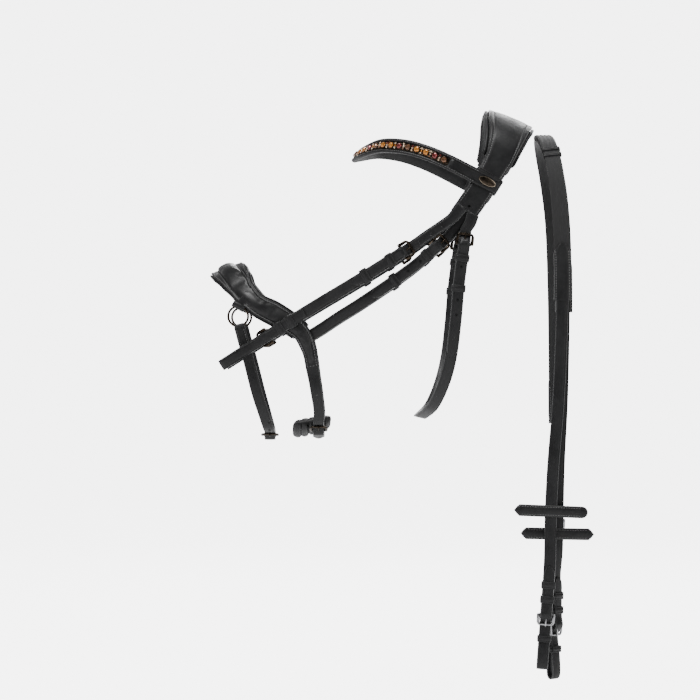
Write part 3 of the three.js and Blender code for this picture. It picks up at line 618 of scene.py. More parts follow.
def band(shape, path, distance, low, high, half, length=9.0, wall=1.3, corner=1.1):
    """A leather band round the strap with soft edges and a crease near each edge."""
    matrix = frame_matrix(path, distance)
    reach = length / 2
    profile = [(0, -reach + 0.2), (0.25, -reach), (wall - 0.35, -reach), (wall, -reach + 0.45),
               (wall, -reach + 1.3), (wall - 0.25, -reach + 1.6), (wall + 0.05, -reach + 1.95),
               (wall + 0.12, 0)]
    profile += [(out, -along) for out, along in reversed(profile[:-1])]
    rings = []
    for (x, y), (nx, ny) in rounded_loop(-half, half, low, high, corner):
        rings.append([matrix @ Vector((x + nx * out, y + ny * out, along))
                      for out, along in profile])
    shape.rings(rings, LEATHER, closed=True)


# ------------------------------------------------------------ fittings
BAR_HALF, BAR_REACH = 9.1, 13.0  # the buckle frame's middle line
ABOVE = OVER_STRAP + BILLET_THICK / 2 + 0.65  # clears a billet that lies on the strap


def buckle(path, material):
    """A rounded frame with a thinner round bar at its heel."""
    shape, matrix = Shape(), frame_matrix(path, 0)
    points, radii = [], []
    for (x, z), _ in rounded_loop(-BAR_HALF, BAR_HALF, 0, BAR_REACH, 2.6, 6):
        points.append(matrix @ Vector((x, 0, z)))
        radii.append(1.25 if z < 0.2 else 1.6)
    up = path.frame(0)[2]
    tube(shape, points, radii, material, True, 12, 0.85, up)
    for sign in (-1, 1):
        side = [matrix @ Vector((sign * (BAR_HALF + 0.35), 0.1, z)) for z in (-0.6, 0.4, 2.2, 9.5, 11.5)]
        tube(shape, side, [1.3, 1.95, 2.15, 1.9, 1.5], material, False, 12, 0.75, up)
    return shape


def tongue(path, material):
    """A tapered pin, wrapped round the heel bar and resting on the far bar."""
    shape, matrix = Shape(), frame_matrix(path, 0)
    tube(shape, hoop(matrix, 0, 1.95, 16), 0.8, material, True, 10, 1.45, path.across(0))
    course = ((1.4, 1.25), (3.0, 1.75), (6.0, 2.15), (9.5, 2.35), (12.4, 2.35), (14.0, 2.1), (15.1, 1.75),
              (15.5, 1.6))
    pin = [matrix @ Vector((0, out, back)) for back, out in course]
    tube(shape, pin, [1.05, 1.25, 1.2, 1.1, 1.0, 0.9, 0.7, 0.3], material, False, 10, 0.8,
         path.frame(0)[2])
    return shape


def fold(shape, path, sewn=27.0):
    """Strap end turned round the heel bar on each side of the tongue, and stitched down."""
    half = STRAP_WIDTH / 2
    for sign in (-1, 1):
        middle = sign * (half + 1.8) / 2
        part = half - 1.8
        strap(shape, path, -0.6, 5.0, part, STRAP_THICK, side=middle)
        shape.rings([hoop(frame_matrix(path, 0), sign * x, radius, 18) for x, radius in (
            (1.8, 2.5), (2.15, 2.9), (2.6, 3.0), (half - 0.8, 3.0), (half - 0.3, 2.8), (half, 2.3))],
            LEATHER)
        for face in (1, -1):
            stitches(shape, path, 5.5, sewn, sign * (half - 3.0), face * (STRAP_THICK / 2 + 0.1))
    cross_stitches(shape, path, sewn, half - 3.2, STRAP_THICK / 2 + 0.1)


def fixed_keeper(shape, path, distance):
    band(shape, path, distance, -STRAP_THICK / 2 + 0.2, ABOVE, STRAP_WIDTH / 2 - 0.1)


def double_keeper(shape, path, distance):
    band(shape, path, distance, -ABOVE, ABOVE, STRAP_WIDTH / 2 - 0.1)


def include(shape, other, mirror=False):
    """Adds another shape's surfaces, or their mirror image."""
    for index, material in enumerate(other.materials):
        faces = [face for face, mark in zip(other.faces, other.marks) if mark == index]
        used = sorted({i for face in faces for i in face})
        place = {old: new for new, old in enumerate(used)}
        flip = -1 if mirror else 1
        points = [(other.points[i].x, flip * other.points[i].y, other.points[i].z) for i in used]
        shape.add(points, [tuple(place[i] for i in face) for face in faces], material)


def punched(shape, path, places):
    """The same strap with round holes right through it at distances along a path."""
    body = shape.mesh("strap_body")
    tools = Shape()
    for distance in places:
        matrix = frame_matrix(path, distance)
        tools.rings([disc(matrix, HOLE_RADIUS, height, 16) for height in (-CUTTER_REACH, CUTTER_REACH)],
                    shape.materials[0])
    tool = tools.mesh("hole_tools")
    cutter = body.modifiers.new("holes", "BOOLEAN")
    cutter.object = tool
    cutter.operation = "DIFFERENCE"
    cutter.solver = "EXACT"
    bpy.context.view_layer.update()
    made = bpy.data.meshes.new_from_object(
        body.evaluated_get(bpy.context.evaluated_depsgraph_get()))
    result = Shape()
    result.add([vertex.co / MM for vertex in made.vertices],
               [tuple(face.vertices) for face in made.polygons], shape.materials[0])
    result.materials = list(shape.materials)
    result.marks = [min(face.material_index, len(result.materials) - 1) for face in made.polygons]
    bpy.data.objects.remove(body)
    bpy.data.objects.remove(tool)
    return result


def filled_out(shape, sewn):
    """A padded cover after its filling has pressed it out, by cloth simulation.

    sewn says whether a point, given by its number, is held by the seam. The result stays
    within CLOTH_CAP of the drawn shape, so that it never reaches the pieces around it.
    """
    cover = shape.mesh("padded_cover")
    drawn = [vertex.co.copy() for vertex in cover.data.vertices]
    held = cover.vertex_groups.new(name="sewn")
    held.add([i for i in range(len(drawn)) if sewn(i)], 1.0, "REPLACE")
    cloth = cover.modifiers.new("cloth", "CLOTH")
    cloth.settings.vertex_group_mass = "sewn"
    cloth.settings.mass = CLOTH_MASS
    cloth.settings.use_pressure = True
    cloth.settings.uniform_pressure_force = CLOTH_PRESSURE
    cloth.settings.shrink_min = -CLOTH_GROWTH
    cloth.settings.effector_weights.gravity = 0.0
    cloth.point_cache.frame_start, cloth.point_cache.frame_end = 1, CLOTH_FRAMES
    for moment in range(1, CLOTH_FRAMES + 1):
        bpy.context.scene.frame_set(moment)
        bpy.context.view_layer.update()
    settled = cover.evaluated_get(bpy.context.evaluated_depsgraph_get()).to_mesh()
    for i, vertex in enumerate(settled.vertices):
        moved = vertex.co / MM - drawn[i] / MM
        shape.points[i] = drawn[i] / MM + moved * min(1.0, CLOTH_CAP / max(moved.length, 1e-6))
    bpy.context.scene.frame_set(1)
    bpy.data.objects.remove(cover)
    return shape


# ------------------------------------------------------------ handing pieces to the frame
def put(shape, name, body, nodes=None, mirror=False, flat=False):
    """One finished piece that rides on a body; it stands for its own node unless others are given."""
    piece = shape.mesh(name, mirror)
    if flat:
        piece.data.shade_flat()
    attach(piece, body)
    nodes = [name] if nodes is None else nodes
    if nodes:
        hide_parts(*nodes)


def put_pair(shape, name, body, nodes=None):
    """The right-hand piece and its mirror image; {side} in the body's name becomes the side."""
    for side in ("right", "left"):
        put(shape, f"{name}_{side}", body.format(side=side), nodes, side == "left")


def put_billet(shape, name):
    """A pair of billets, drawn curving from the crown into the straps that they are buckled to."""
    for side in ("right", "left"):
        piece = shape.mesh(f"{name}_{side}", side == "left")
        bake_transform(piece)
        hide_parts(f"{name}_{side}")


# ------------------------------------------------------------ crown
CROWN_MIDDLE = CROWN.length / 2
CROWN_WIDTH, CROWN_TAPER = 60, 28  # at the poll; how much of it is gone at the browband's loops
LOOP_PLACE = CROWN.length - 42


def crown_width(distance):
    away = abs(distance - CROWN_MIDDLE)
    return CROWN_WIDTH - CROWN_TAPER * smooth(away, 8, LOOP_PLACE - CROWN_MIDDLE)


def crown_seam(distance):
    """How far the crown's stitched seam lies from the middle, on the narrower rear side."""
    half = crown_width(distance) / 2
    return half - 3.2 - 3.8 * smooth(half, 16, 28)


def crown_section(distance):
    half = crown_width(distance) / 2
    seam = crown_seam(distance)
    puff = 1.3 * smooth(half, 17, 26)
    right = [(half - 0.8, -1.5), (half - 0.2, -0.9), (half, 0.2), (half - 0.3, 1.1), (half - 1.0, 1.5),
             (half - 1.6, 1.25), (half - 2.2, 1.55), (seam + 0.6, 1.6), (seam, 1.25),
             (seam - 0.7, 1.7), (seam * 0.8, 1.6 + 0.6 * puff), (seam * 0.4, 1.6 + puff)]
    loop = right + [(-x, y) for x, y in reversed(right)]
    return [(x, y + CROWN_LIFT) for x, y in loop]


crown = Shape()
sweep(crown, CROWN, 0, CROWN.length, crown_section, LEATHER, 3.0,
      edge=(0, 1, 2, 3, 19, 20, 21, 22))
crown = punched(crown, CROWN, [5, CROWN.length - 5])
for sign in (-1, 1):
    stitches(crown, CROWN, 4, CROWN.length - 4, lambda d: sign * crown_seam(d), CROWN_LIFT + 1.5)
put(crown, "crown_piece", "headstall")

PAD_REACH = 108
crown_pad = Shape()


def pad_section(distance):
    half = crown_width(distance) / 2 + 1.2
    end = max(PAD_REACH - abs(distance - CROWN_MIDDLE), 0.0)
    thick = 2.7 * math.sqrt(min(end / 6, 1.0) * (2 - min(end / 6, 1.0))) + 0.05
    loop = []
    for a in circle(40):
        x = math.copysign(abs(math.cos(a)) ** 0.35, math.cos(a)) * half
        y = math.copysign(abs(math.sin(a)) ** 0.75, math.sin(a)) * thick
        if y > 0:
            y += 0.5 * math.sin(x / half * 9.4) ** 2
        loop.append((x, y + 2.9))
    return loop


sweep(crown_pad, CROWN, CROWN_MIDDLE - PAD_REACH, CROWN_MIDDLE + PAD_REACH, pad_section, SOFT, 3.0,
      [CROWN_MIDDLE + s * (PAD_REACH - b) for s in (-1, 1) for b in (0.4, 1.2, 2.4, 4.0)])
for side, lift, radius in ((-1, 8.6, 2.3), (-1, 5.0, 2.4), (1, 9.0, 2.0), (1, 5.6, 2.1)):
    places = [CROWN_MIDDLE + (PAD_REACH - 4) * (i / 60 - 1) for i in range(121)]
    reach = 2.2 if side < 0 else 1.6
    tube(crown_pad, [CROWN.at(d, lift, side * (crown_width(d) / 2 + reach)) for d in places],
         [radius * min(1, 0.3 + 0.35 * min(i, 120 - i)) for i in range(121)], SOFT, sides=12)
put(crown_pad, "crown_pad", "headstall")


def headstrap_lift(distance):
    return 8.2 - 5.2 * smooth(abs(distance - CROWN_MIDDLE), 118, CROWN_MIDDLE)


headstrap = Shape()
strap(headstrap, CROWN, 0, CROWN.length, STRAP_WIDTH, BILLET_THICK, lift=headstrap_lift)
put(headstrap, "noseband_headstrap", "headstall")

# ------------------------------------------------------------ browband
BROW_MIDDLE = BROW.length / 2
STONE_COUNT, STONE_PITCH = 27, 12.7
CHANNEL_REACH = STONE_COUNT / 2 * STONE_PITCH


def brow_section(distance):
    away = abs(distance - BROW_MIDDLE)
    ends = smooth(min(distance, BROW.length - distance), 12, 45)
    ends -= 0.5 * smooth(-min(distance, BROW.length - distance), 9, 14.5)
    low, high = -1.5 - ends, 1.5 + ends * 1.1
    floor = high - 1.7 * (1 - smooth(away, CHANNEL_REACH, CHANNEL_REACH + 5)) * ends
    right = [(8.6, low), (9.2, low + 0.5), (9.5, 0.1), (9.4, high - 1.2), (8.9, high - 0.45),
             (8.1, high - 0.05), (7.1, high), (6.1, high - 0.25), (5.55, high - 0.75),
             (5.2, min(floor + 0.25, high - 0.6)), (4.8, floor), (2.0, floor)]
    return right + [(-x, y) for x, y in reversed(right)]


browband = Shape()
sweep(browband, BROW, -14.5, BROW.length + 14.5, brow_section, LEATHER, 3.0)
for sign in (-1, 1):
    stitches(browband, BROW, 14, BROW.length - 14, sign * 7.0, lambda d: (
        1.5 + 1.1 * smooth(min(d, BROW.length - d), 12, 45)), size=0.4)
    place = CROWN_MIDDLE + sign * (LOOP_PLACE - CROWN_MIDDLE)
    band(browband, CROWN, place, -0.5, 14.5, 17.3, 19.0, 1.5, corner=2.6)
put(browband, "browband", "headstall")

channel = Shape()
strap(channel, BROW, BROW_MIDDLE - CHANNEL_REACH, BROW_MIDDLE + CHANNEL_REACH, 9.6, 0.7, BRONZE,
      lift=1.4)
stones = Shape()


def faceted(shape, matrix, radius, height, material, turn):
    """A brilliant-cut stone: girdle, upper facets and a flat table."""
    sides = 8
    rings = []
    for share, up, shift in ((0.8, 0, 0), (1, 0.3, 0), (0.82, 0.72, 0.5), (0.52, 1, 0)):
        rings.append([matrix @ Vector((
            radius * share * math.cos((i + shift) * 2 * math.pi / sides + turn), height * up,
            radius * share * math.sin((i + shift) * 2 * math.pi / sides + turn)))
            for i in range(sides)])
    points = [point for ring in rings for point in ring]
    faces = [tuple(range(3 * sides, 4 * sides)), tuple(range(sides))[::-1]]
    for level, shift in ((0, 0), (1, 0), (2, 1)):
        for i in range(sides):
            a, b = level * sides + i, level * sides + (i + 1) % sides
            c, d = a + sides, b + sides
            if level == 0:
                faces.append((a, b, d, c))
            elif shift:
                faces.extend([(a, b, d), (a, d, c)])
            else:
                faces.extend([(a, b, c), (b, d, c)])
    shape.add(points, faces, material)


for index in range(STONE_COUNT):
    spot = BROW_MIDDLE + (index - (STONE_COUNT - 1) / 2) * STONE_PITCH
    seat = frame_matrix(BROW, spot, 1.8)
    faceted(stones, seat, 3.9, 3.1, STONES[(index * 2 + index // 4) % 3], random.random())
    tube(channel, disc(seat, 3.9, 0.35, 20), 0.5, BRONZE, True, 6)
    if index:
        for shift, side in ((0, -2.9), (0, 2.9), (0.3, 0)):
            seat = frame_matrix(BROW, spot - STONE_PITCH / 2 + shift, 1.7, side)
            faceted(stones, seat, 1.5, 1.8, SPARK if (index + int(side)) % 3 else STONES[index % 3], 0.2)
            tube(channel, disc(seat, 1.5, 0.2, 12), 0.35, BRONZE, True, 5)
put(channel, "browband_channel", "headstall", ["browband_crystals"])
put(stones, "browband_stones", "headstall", [], flat=True)

badge = Shape()
seat = frame_matrix(BROW, -1.0, 1.6)
for material, course in (
        (RIM, ((11.5, 5, -0.4), (11.8, 5.2, 0.5), (11.5, 4.9, 1.1), (10.8, 4.3, 1.25), (10.3, 3.9, 0.7))),
        (BRONZE, ((10.5, 4.1, 0.3), (10.3, 3.9, 0.8), (8, 2.9, 1.2), (4, 1.5, 1.4), (1, 0.4, 1.45)))):
    badge.rings([[seat @ Vector((z * math.sin(a), up, x * math.cos(a)))
                  for a in circle(40)] for x, z, up in course], material)
put_pair(badge, "loop_badge", "headstall", [])

# ------------------------------------------------------------ cheekpieces
cheek_billet = Shape()
strap(cheek_billet, CHEEK_BILLET, -2.5, CHEEK_BILLET.length,
      lambda d: (15.2 - 1.2 * smooth(d, 0, 22)) / BILLET_WIDTH * tipped(
          BILLET_WIDTH, CHEEK_BILLET.length)(d),
      lambda d: 3.0 - 0.8 * smooth(d, 0, 22), side=lambda d: 0.3 * (1 - smooth(d, 0, 12)),
      extra=tip_marks(CHEEK_BILLET.length))
cheek_billet = punched(cheek_billet, CHEEK, [-26, -43, -60])
put_billet(cheek_billet, "cheek_billet")

cheek = Shape()
strap(cheek, CHEEK, 3.5, CHEEK.length - 3.5, STRAP_WIDTH, STRAP_THICK)
fold(cheek, CHEEK)
fold(cheek, BIT)
fixed_keeper(cheek, CHEEK, 17)
double_keeper(cheek, BIT, 17)
double_keeper(cheek, BIT, 33)
strap(cheek, BIT_BILLET, 0, BIT_BILLET.length, tipped(BILLET_WIDTH, BIT_BILLET.length), BILLET_THICK,
      extra=tip_marks(BIT_BILLET.length))
put_pair(cheek, "cheekpiece", "cheek_{side}")
cheek_runner = Shape()
band(cheek_runner, CHEEK, 54, -STRAP_THICK / 2 - 0.35, ABOVE, STRAP_WIDTH / 2 + 0.6)
put_pair(cheek_runner, "cheek_runner", "cheek_runner_{side}")

# ------------------------------------------------------------ noseband
noseband_billet = Shape()
strap(noseband_billet, NOSEBAND_BILLET, -2, NOSEBAND_BILLET.length,
      tipped(BILLET_WIDTH, NOSEBAND_BILLET.length), BILLET_THICK,
      extra=tip_marks(NOSEBAND_BILLET.length))
noseband_billet = punched(noseband_billet, HANGER, [-24, 28, 47])
put_billet(noseband_billet, "noseband_billet")

hanger = Shape()
strap(hanger, HANGER, 3.5, HANGER.length, STRAP_WIDTH, STRAP_THICK)
fold(hanger, HANGER)
fixed_keeper(hanger, HANGER, 17)
put_pair(hanger, "noseband_hanger", "noseband")
nose_runner = Shape()
band(nose_runner, HANGER, 68, -STRAP_THICK / 2 - 0.35, ABOVE, STRAP_WIDTH / 2 + 0.6)
put_pair(nose_runner, "noseband_runner", "noseband_runner_{side}")

NOSE_MIDDLE = NOSE.length / 2
NOSE_WIDTHS = [(0, 42), (22, 42), (46, 36), (70, 28), (95, 25), (120, 27), (146, 25), (172, 21),
               (200, 17), (235, 15), (262, 14)]
NOSE_PAD_REACH = 165


def nose_width(distance):
    away = abs(distance - NOSE_MIDDLE)
    for (a, low), (b, high) in zip(NOSE_WIDTHS, NOSE_WIDTHS[1:]):
        if away <= b:
            return low + (high - low) * smooth(away, a, b)
    return NOSE_WIDTHS[-1][1]


def nearest(path, point):
    """The distance along the path that lies nearest to a point."""
    point = Vector(point)
    return min((i * 0.5 for i in range(int(path.length * 2))),
               key=lambda d: (path.at(d) - point).length)


ROLL_HEIGHT, ROLL_DROP = 5.0, 3.2  # over the nose; how much lower it is on the cheeks
ROLL_REACH = NOSE_MIDDLE - nearest(NOSE, on_head(-248.7, -300, NOSE_LIFT))


def roll_half(distance):
    return min(11.5, nose_width(distance) / 2 - 4.0)


def nose_section(distance):
    half, top = nose_width(distance) / 2, 1.2
    seam = roll_half(distance) + 1.3
    right = [(half - 0.8, -top), (half - 0.2, -0.6), (half, 0.1), (half - 0.25, 0.9),
             (half - 0.9, top), (half - 1.6, top), (half - 2.1, 0.9), (seam + 0.5, top),
             (seam, 0.85)]
    return right + [(-x, y) for x, y in reversed(right)]


def nose_ends(half_width, height):
    """The raised roll's section, which shrinks into a rounded end."""
    def at(distance):
        left = min(max((ROLL_REACH - abs(distance - NOSE_MIDDLE)) / 9, 0.0), 1.0)
        share = math.sqrt(1 - (1 - left) ** 2)
        half = half_width(distance) * (0.25 + 0.75 * share)
        rise = (height - ROLL_DROP * smooth(abs(distance - NOSE_MIDDLE), 20, 75)) * share + 0.1
        arc = [(half * math.cos(math.pi * i / 14), rise * math.sin(math.pi * i / 14) ** 0.8)
               for i in range(15)]
        return [(x, y + 0.7) for x, y in arc] + [(-half, 0.2), (half, 0.2)]
    return at


nosepiece = Shape()
shaped = (NOSE_MIDDLE - 200, NOSE_MIDDLE + 200)
for start, end in ((0, shaped[0]), (shaped[1], NOSE.length)):
    strap(nosepiece, NOSE, start, end,
          lambda d: nose_width(d) * tipped(1, 0)(min(d, NOSE.length - d)), STRAP_THICK,
          extra=tip_marks(0, 1) + tip_marks(NOSE.length))
sweep(nosepiece, NOSE, *shaped, nose_section, LEATHER, 3.0)
nose_roll = Shape()
sweep(nose_roll, NOSE, NOSE_MIDDLE - ROLL_REACH, NOSE_MIDDLE + ROLL_REACH, nose_ends(roll_half, ROLL_HEIGHT),
      NAPPA, 3.0, [NOSE_MIDDLE + s * (ROLL_REACH - b) for s in (-1, 1) for b in (0.2, 0.8, 1.8, 3.2, 5)])
RING_POINTS, RING_SEAM = 17, (0, 14, 15, 16)  # points in one section of the roll; those at its seam
include(nosepiece, filled_out(nose_roll, lambda i: i % RING_POINTS in RING_SEAM))
for sign in (-1, 1):
    stitches(nosepiece, NOSE, NOSE_MIDDLE - ROLL_REACH - 4, NOSE_MIDDLE + ROLL_REACH + 4,
             lambda d: sign * (roll_half(d) + 1.3), 1.1)
    stitches(nosepiece, NOSE, NOSE_MIDDLE - 190, NOSE_MIDDLE + 190,
             lambda d: sign * (nose_width(d) / 2 - 2.0), 1.15)
    cross_stitches(nosepiece, NOSE, NOSE_MIDDLE + sign * (ROLL_REACH + 3), 4.0, 1.2)
    cross_stitches(nosepiece, NOSE, NOSE_MIDDLE + sign * (ROLL_REACH + 40), 1.7, 1.3)

tab = Shape()
top = RING_CENTRE + Vector((0.5, 0, RING_RADIUS + 0.2))
lean = Vector((0.87, 0, -0.49))
roll = [top + lean * along for along in (-8.4, -8.0, -7.2, 7.2, 8.0, 8.4)]
tube(tab, roll, [3.2, 4.0, 4.3, 4.3, 4.0, 3.2], LEATHER, False, 18)
tab_path = Path(facing([top + lean * 2, top + lean * 3 + Vector((7.0, -1.5, 11))], lean))
strap(tab, tab_path, 0.5, tab_path.length, 12.5, 3.6)
for sign in (-1, 1):
    stitches(tab, tab_path, 5, tab_path.length - 2, sign * 4.6, 1.85)
include(nosepiece, tab)
include(nosepiece, tab, mirror=True)
put(nosepiece, "nosepiece", "noseband")

nose_pad = Shape()


def nose_pad_section(distance):
    half = nose_width(distance) / 2 + 1.6
    end = min(max((NOSE_PAD_REACH - abs(distance - NOSE_MIDDLE)) / 8, 0.0), 1.0)
    share = 0.15 + 0.85 * math.sqrt(1 - (1 - end) ** 2)
    loop = []
    for a in circle(32):
        x = math.copysign(abs(math.cos(a)) ** 0.4, math.cos(a)) * half * (0.7 + 0.3 * share)
        y = math.copysign(abs(math.sin(a)) ** 0.8, math.sin(a)) * 2.0 * share
        loop.append((x, y - 3.4))
    return loop


sweep(nose_pad, NOSE, NOSE_MIDDLE - NOSE_PAD_REACH, NOSE_MIDDLE + NOSE_PAD_REACH, nose_pad_section, SOFT,
      3.0)
for sign in (-1, 1):
    places = [NOSE_MIDDLE + (NOSE_PAD_REACH - 3) * (i / 70 - 1) for i in range(141)]
    tube(nose_pad, [NOSE.at(d, -2.4, sign * (nose_width(d) / 2 + 1.0)) for d in places], 1.5, SOFT,
         sides=10)
put(nose_pad, "nose_pad", "noseband")

chin = Shape()
strap(chin, CHIN, 3.5, CHIN.length - 3.5, STRAP_WIDTH, STRAP_THICK)
ends = Shape()
fold(ends, CHIN, sewn=14)
include(chin, ends)
include(chin, ends, mirror=True)
RIBS, CHIN_HALF = 5, 25.0


def chin_section(distance):
    end = min(distance, CHIN_PAD.length - distance) / 10
    share = math.sqrt(1 - (1 - min(max(end, 0.0), 1.0)) ** 2)
    half, loop = CHIN_HALF - 2.0 * (1 - share), []
    for face in (1, -1):
        for i in range(41):
            x = face * half * (1 - i / 20)
            ends_in = math.sqrt(max(1 - abs(x / half) ** 3.2, 0.0))
            puff = abs(math.sin(RIBS * math.pi * (x / half + 1) / 2)) ** 0.5
            y = face * (0.5 + (3.4 + 3.0 * puff) * ends_in * (0.25 + 0.75 * share))
            loop.append((x, y))
    return loop


sweep(chin, CHIN_PAD, 0, CHIN_PAD.length, chin_section, SOFT, 2.0, [0.3, 1, 2, 3.5, 5, 7])
for rib in range(1, RIBS):
    for lift in (4.1, -4.1):
        stitches(chin, CHIN_PAD, 9, CHIN_PAD.length - 9, CHIN_HALF * (2 * rib / RIBS - 1), lift, 0.36)
put(chin, "chin_pad", "noseband")

ring = Shape()
tube(ring, [RING_CENTRE + Vector((RING_RADIUS * math.cos(a), 0, RING_RADIUS * math.sin(a)))
            for a in circle(48)], RING_WIRE, BRONZE, True, 12)
put_pair(ring, "nose_ring", "nose_ring_{side}")

lower = Shape()
strap(lower, LOWER, 3.5, LOWER.length, STRAP_WIDTH, STRAP_THICK)
fold(lower, LOWER, sewn=22)
ring_fold = Shape()
ring_fold.rings([hoop(frame_matrix(LOWER, LOWER.length), x, radius, 18) for x, radius in (
    (-6.3, 2.4), (-5.9, 3.0), (-5, 3.2), (5, 3.2), (5.9, 3.0), (6.3, 2.4))], LEATHER)
for sign in (-1, 1):
    stitches(ring_fold, LOWER, LOWER.length - 24, LOWER.length - 4, sign * 4.6, 1.3)
cross_stitches(ring_fold, LOWER, LOWER.length - 24, 4.4, 1.3)
include(lower, ring_fold)
put(lower, "lower_strap_right", "lower_strap")
lower_left = Shape()
strap(lower_left, LOWER_BILLET, 0, LOWER_BILLET.length, tipped(BILLET_WIDTH, 0), BILLET_THICK,
      extra=tip_marks(0, 1))
lower_left = punched(lower_left, LOWER, [-27, -39])
include(lower_left, ring_fold, mirror=True)
put(lower_left, "lower_strap_left", "lower_strap")

# ------------------------------------------------------------ throatlatch
throat_billet = Shape()
strap(throat_billet, THROAT_BILLET, -2.5, THROAT_BILLET.length,
      lambda d: (15.4 - 1.4 * smooth(d, 0, 20)) / BILLET_WIDTH * tipped(
          BILLET_WIDTH, THROAT_BILLET.length)(d),
      lambda d: 3.0 - 0.8 * smooth(d, 0, 20), extra=tip_marks(THROAT_BILLET.length))
throat_billet = punched(throat_billet, THROAT, [28, 69, 88])
put_billet(throat_billet, "throat_billet")
throatlatch = Shape()
strap(throatlatch, THROAT, 3.5, THROAT.length - 3.5, STRAP_WIDTH, STRAP_THICK)
ends = Shape()
fold(ends, THROAT)
fixed_keeper(ends, THROAT, 17)
fixed_keeper(ends, THROAT, 55)
include(throatlatch, ends)
include(throatlatch, ends, mirror=True)
put(throatlatch, "throatlatch", "throatlatch")

# ------------------------------------------------------------ reins
WEB_START, WEB_END = 405, 1085


def web_section(distance):
    """Flat web with four raised ribs on each face."""
    loop = []
    for face in (1, -1):
        for i in range(25):
            x = face * 10 * (1 - i / 12)
            rise = 0.35 * max(0.0, math.cos(8 * math.pi * x / 20 + math.pi)) ** 2
            edge = math.sqrt(max(1 - abs(x / 10) ** 8, 0.0))
            loop.append((x, face * (0.15 + (0.85 + rise) * edge)))
    return loop


def rein(path, tip_end):
    shape = Shape()
    strap(shape, path, 3.5, WEB_START + 4, STRAP_WIDTH, STRAP_THICK)
    fold(shape, path)
    double_keeper(shape, path, 18)
    double_keeper(shape, path, 36)
    billet = Path(loop_stops(path, 62, 60, -68, 2.5))
    strap(shape, billet, 0, billet.length, tipped(BILLET_WIDTH, billet.length), BILLET_THICK,
          extra=tip_marks(billet.length))
    band(shape, path, -31, -9.4, 1.9, BILLET_WIDTH / 2 + 0.2, 8.0)
    sweep(shape, path, WEB_START - 6, WEB_END + 6, web_section, WEB, 5.0)
    for start, end in ((WEB_START - 14, WEB_START + 58), (WEB_END + 14, WEB_END - 44)):
        low, high = min(start, end), max(start, end)
        strap(shape, path, low, high, tipped(21.5, end, 16), 4.0, NAPPA, extra=[
            end + (start - end) / abs(start - end) * back for back in (0.3, 1, 2, 4, 6, 9, 12)])
        for sign in (-1, 1):
            for face in (-1, 1):
                stitches(shape, path, start, end + (start - end) / abs(start - end) * 10,
                         sign * 8.2, face * 2.05)
    strap(shape, path, WEB_END - 4, tip_end, STRAP_WIDTH, STRAP_THICK)
    return shape


STOP_HALF, STOP_HALF_HEIGHT = 46.0, 7.4
STOP_PROFILE = [(-3.7, 2.4), (-3.4, 1.2), (-2.7, 0.35), (-1.6, 0), (-0.2, 0.1)]
STOP_PROFILE += [(-out, inset) for out, inset in reversed(STOP_PROFILE)]


def stop_outline(inset, back_round):
    """A bar outline: pointed in front, round or pointed behind."""
    half, high = STOP_HALF - inset, STOP_HALF_HEIGHT - inset
    loop = [(-half, 0), (-half + 3.6, -high * 0.62), (-half + 7.0, -high)]
    if back_round:
        loop += [(half - high + high * math.sin(a), -high * math.cos(a))
                 for a in (math.pi * i / 12 for i in range(13))]
    else:
        loop += [(half - 7.0, -high), (half - 3.6, -high * 0.62), (half, 0),
                 (half - 3.6, high * 0.62), (half - 7.0, high)]
    return loop + [(-half + 7.0, high), (-half + 3.6, high * 0.62)]


def rein_stop(path, distance, back_round):
    shape = Shape()
    matrix = frame_matrix(path, distance)
    shape.rings([[matrix @ Vector((x, out, back)) for x, back in stop_outline(inset, back_round)]
                 for out, inset in STOP_PROFILE], NAPPA)
    point, along, out, across = path.frame(distance)
    line = Path(facing([point - across * 40, point + across * 40], tuple(along)))
    for lift in (-3.7, 3.7):
        for sign in (-1, 1):
            stitches(shape, line, 3, 77, sign * 4.8, lift)
    return shape


left_rein = rein(LEFT_REIN, LEFT_REIN.length - 3.5)
fold(left_rein, LEFT_HAND)
fixed_keeper(left_rein, LEFT_HAND, 18)
for height in (-31, -38):
    grip = min((i * 1.0 for i in range(500, 720)), key=lambda d: abs(LEFT_REIN.at(d).z - height))
    band(left_rein, LEFT_REIN, grip, -1.6, 1.6, 10.4, 5.5, 1.5, corner=0.9)
put(left_rein, "rein_left", "reins")

RIGHT_TIP = RIGHT_REIN.length
right_rein = rein(RIGHT_REIN, RIGHT_TIP - 60)
strap(right_rein, RIGHT_REIN, RIGHT_TIP - 62, RIGHT_TIP, tipped(BILLET_WIDTH, RIGHT_TIP), BILLET_THICK,
      extra=tip_marks(RIGHT_TIP))
put(right_rein, "rein_right", "reins")
put(rein_stop(LEFT_REIN, 128, True), "rein_stop_left", "rein_stop_left")
put(rein_stop(RIGHT_REIN, 114, False), "rein_stop_right", "rein_stop_right")

# ------------------------------------------------------------ buckles
for name, path, home in (("cheek", CHEEK, "cheek_{side}"), ("bit", BIT, "cheek_{side}"),
                         ("noseband", HANGER, "noseband"), ("throat", THROAT, "throatlatch"),
                         ("chin", CHIN, "noseband")):
    put_pair(buckle(path, BRONZE), f"{name}_buckle", home)
    put_pair(tongue(path, BRONZE), f"{name}_tongue", name + "_tongue_{side}")
for name, side, path, home, finish in (
        ("lower", "", LOWER, "lower_strap", BRONZE), ("hand", "", LEFT_HAND, "reins", STEEL),
        ("rein", "_left", LEFT_REIN, "reins", STEEL), ("rein", "_right", RIGHT_REIN, "reins", STEEL)):
    put(buckle(path, finish), f"{name}_buckle{side}", home)
    put(tongue(path, finish), f"{name}_tongue{side}", f"{name}_tongue{side}")

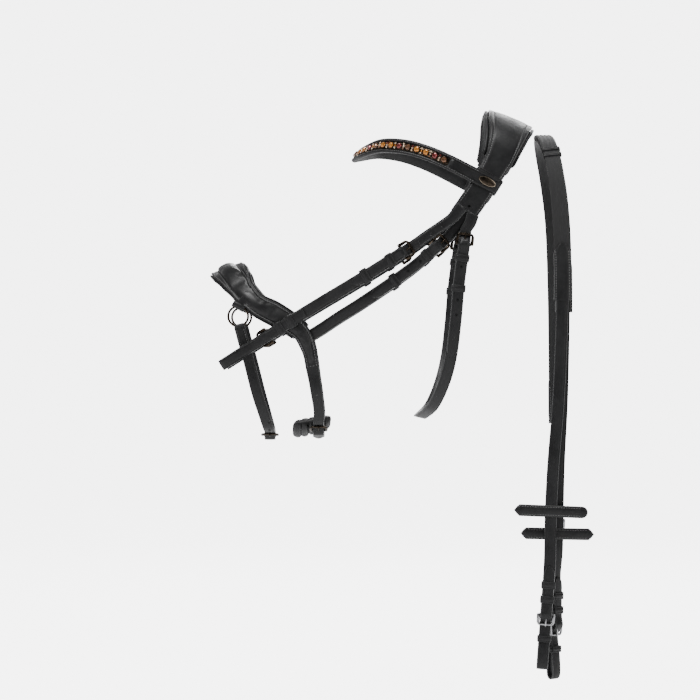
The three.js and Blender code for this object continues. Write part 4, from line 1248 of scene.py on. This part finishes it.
# ------------------------------------------------------------ floor, lights and camera
floor_material, nodes, links, shader = new_material("studio_floor")
shader.inputs["Base Color"].default_value = (0.86, 0.86, 0.87, 1)
shader.inputs["Roughness"].default_value = 0.9
shader.inputs["Emission Color"].default_value = (1, 1, 1, 1)
glow = nodes.new("ShaderNodeMapRange")
glow.inputs["To Min"].default_value = 0.3
glow.inputs["To Max"].default_value = 5.0
links.new(nodes.new("ShaderNodeLightPath").outputs["Is Camera Ray"], glow.inputs["Value"])
links.new(glow.outputs["Result"], shader.inputs["Emission Strength"])
FLOOR_HEIGHT = -0.74
sweep_profile = [(-14, 0), (3.5, 0), (4.6, 0.12), (5.5, 0.5), (6.1, 1.2), (6.4, 2.4), (6.5, 8)]
mesh = bpy.data.meshes.new("studio_floor")
mesh.from_pydata([(side * 14, y, z + FLOOR_HEIGHT) for y, z in sweep_profile for side in (-1, 1)], [],
                 [(2 * i, 2 * i + 1, 2 * i + 3, 2 * i + 2) for i in range(len(sweep_profile) - 1)])
mesh.materials.append(floor_material)
mesh.shade_smooth()
floor = bpy.data.objects.new("studio_floor", mesh)
bpy.context.scene.collection.objects.link(floor)

world = bpy.data.worlds.new("studio")
world.use_nodes = True
background = world.node_tree.nodes["Background"]
background.inputs["Color"].default_value = (1, 1, 1, 1)
seen = world.node_tree.nodes.new("ShaderNodeLightPath")
strength = world.node_tree.nodes.new("ShaderNodeMapRange")
strength.inputs["To Min"].default_value = 0.3
strength.inputs["To Max"].default_value = 5.0
world.node_tree.links.new(seen.outputs["Is Camera Ray"], strength.inputs["Value"])
world.node_tree.links.new(strength.outputs["Result"], background.inputs["Strength"])
bpy.context.scene.world = world


def soft_light(name, place, size, power):
    light = bpy.data.lights.new(name, "AREA")
    light.shape = "RECTANGLE"
    light.size, light.size_y = size
    light.energy = power
    lamp = bpy.data.objects.new(name, light)
    lamp.location = place
    aim = Vector((-0.2, 0, -0.28)) - Vector(place)
    lamp.rotation_euler = aim.to_track_quat("-Z", "Y").to_euler()
    bpy.context.scene.collection.objects.link(lamp)


soft_light("key", (-1.4, -2.0, 2.2), (0.9, 0.6), 62)
soft_light("fill", (2.2, -2.4, 0.6), (1.4, 1.4), 18)
soft_light("top", (-0.1, -0.3, 2.4), (2.0, 0.6), 44)
soft_light("back", (0.4, 2.6, 1.4), (1.8, 1.0), 45)

lens = bpy.data.cameras.new("camera")
lens.lens = 164.6
lens.sensor_width = 36
camera = bpy.data.objects.new("camera", lens)
camera.location = (-0.2, -4.1, -0.2825)
camera.rotation_euler = (math.pi / 2, 0, 0)
bpy.context.scene.collection.objects.link(camera)
bpy.context.scene.camera = camera
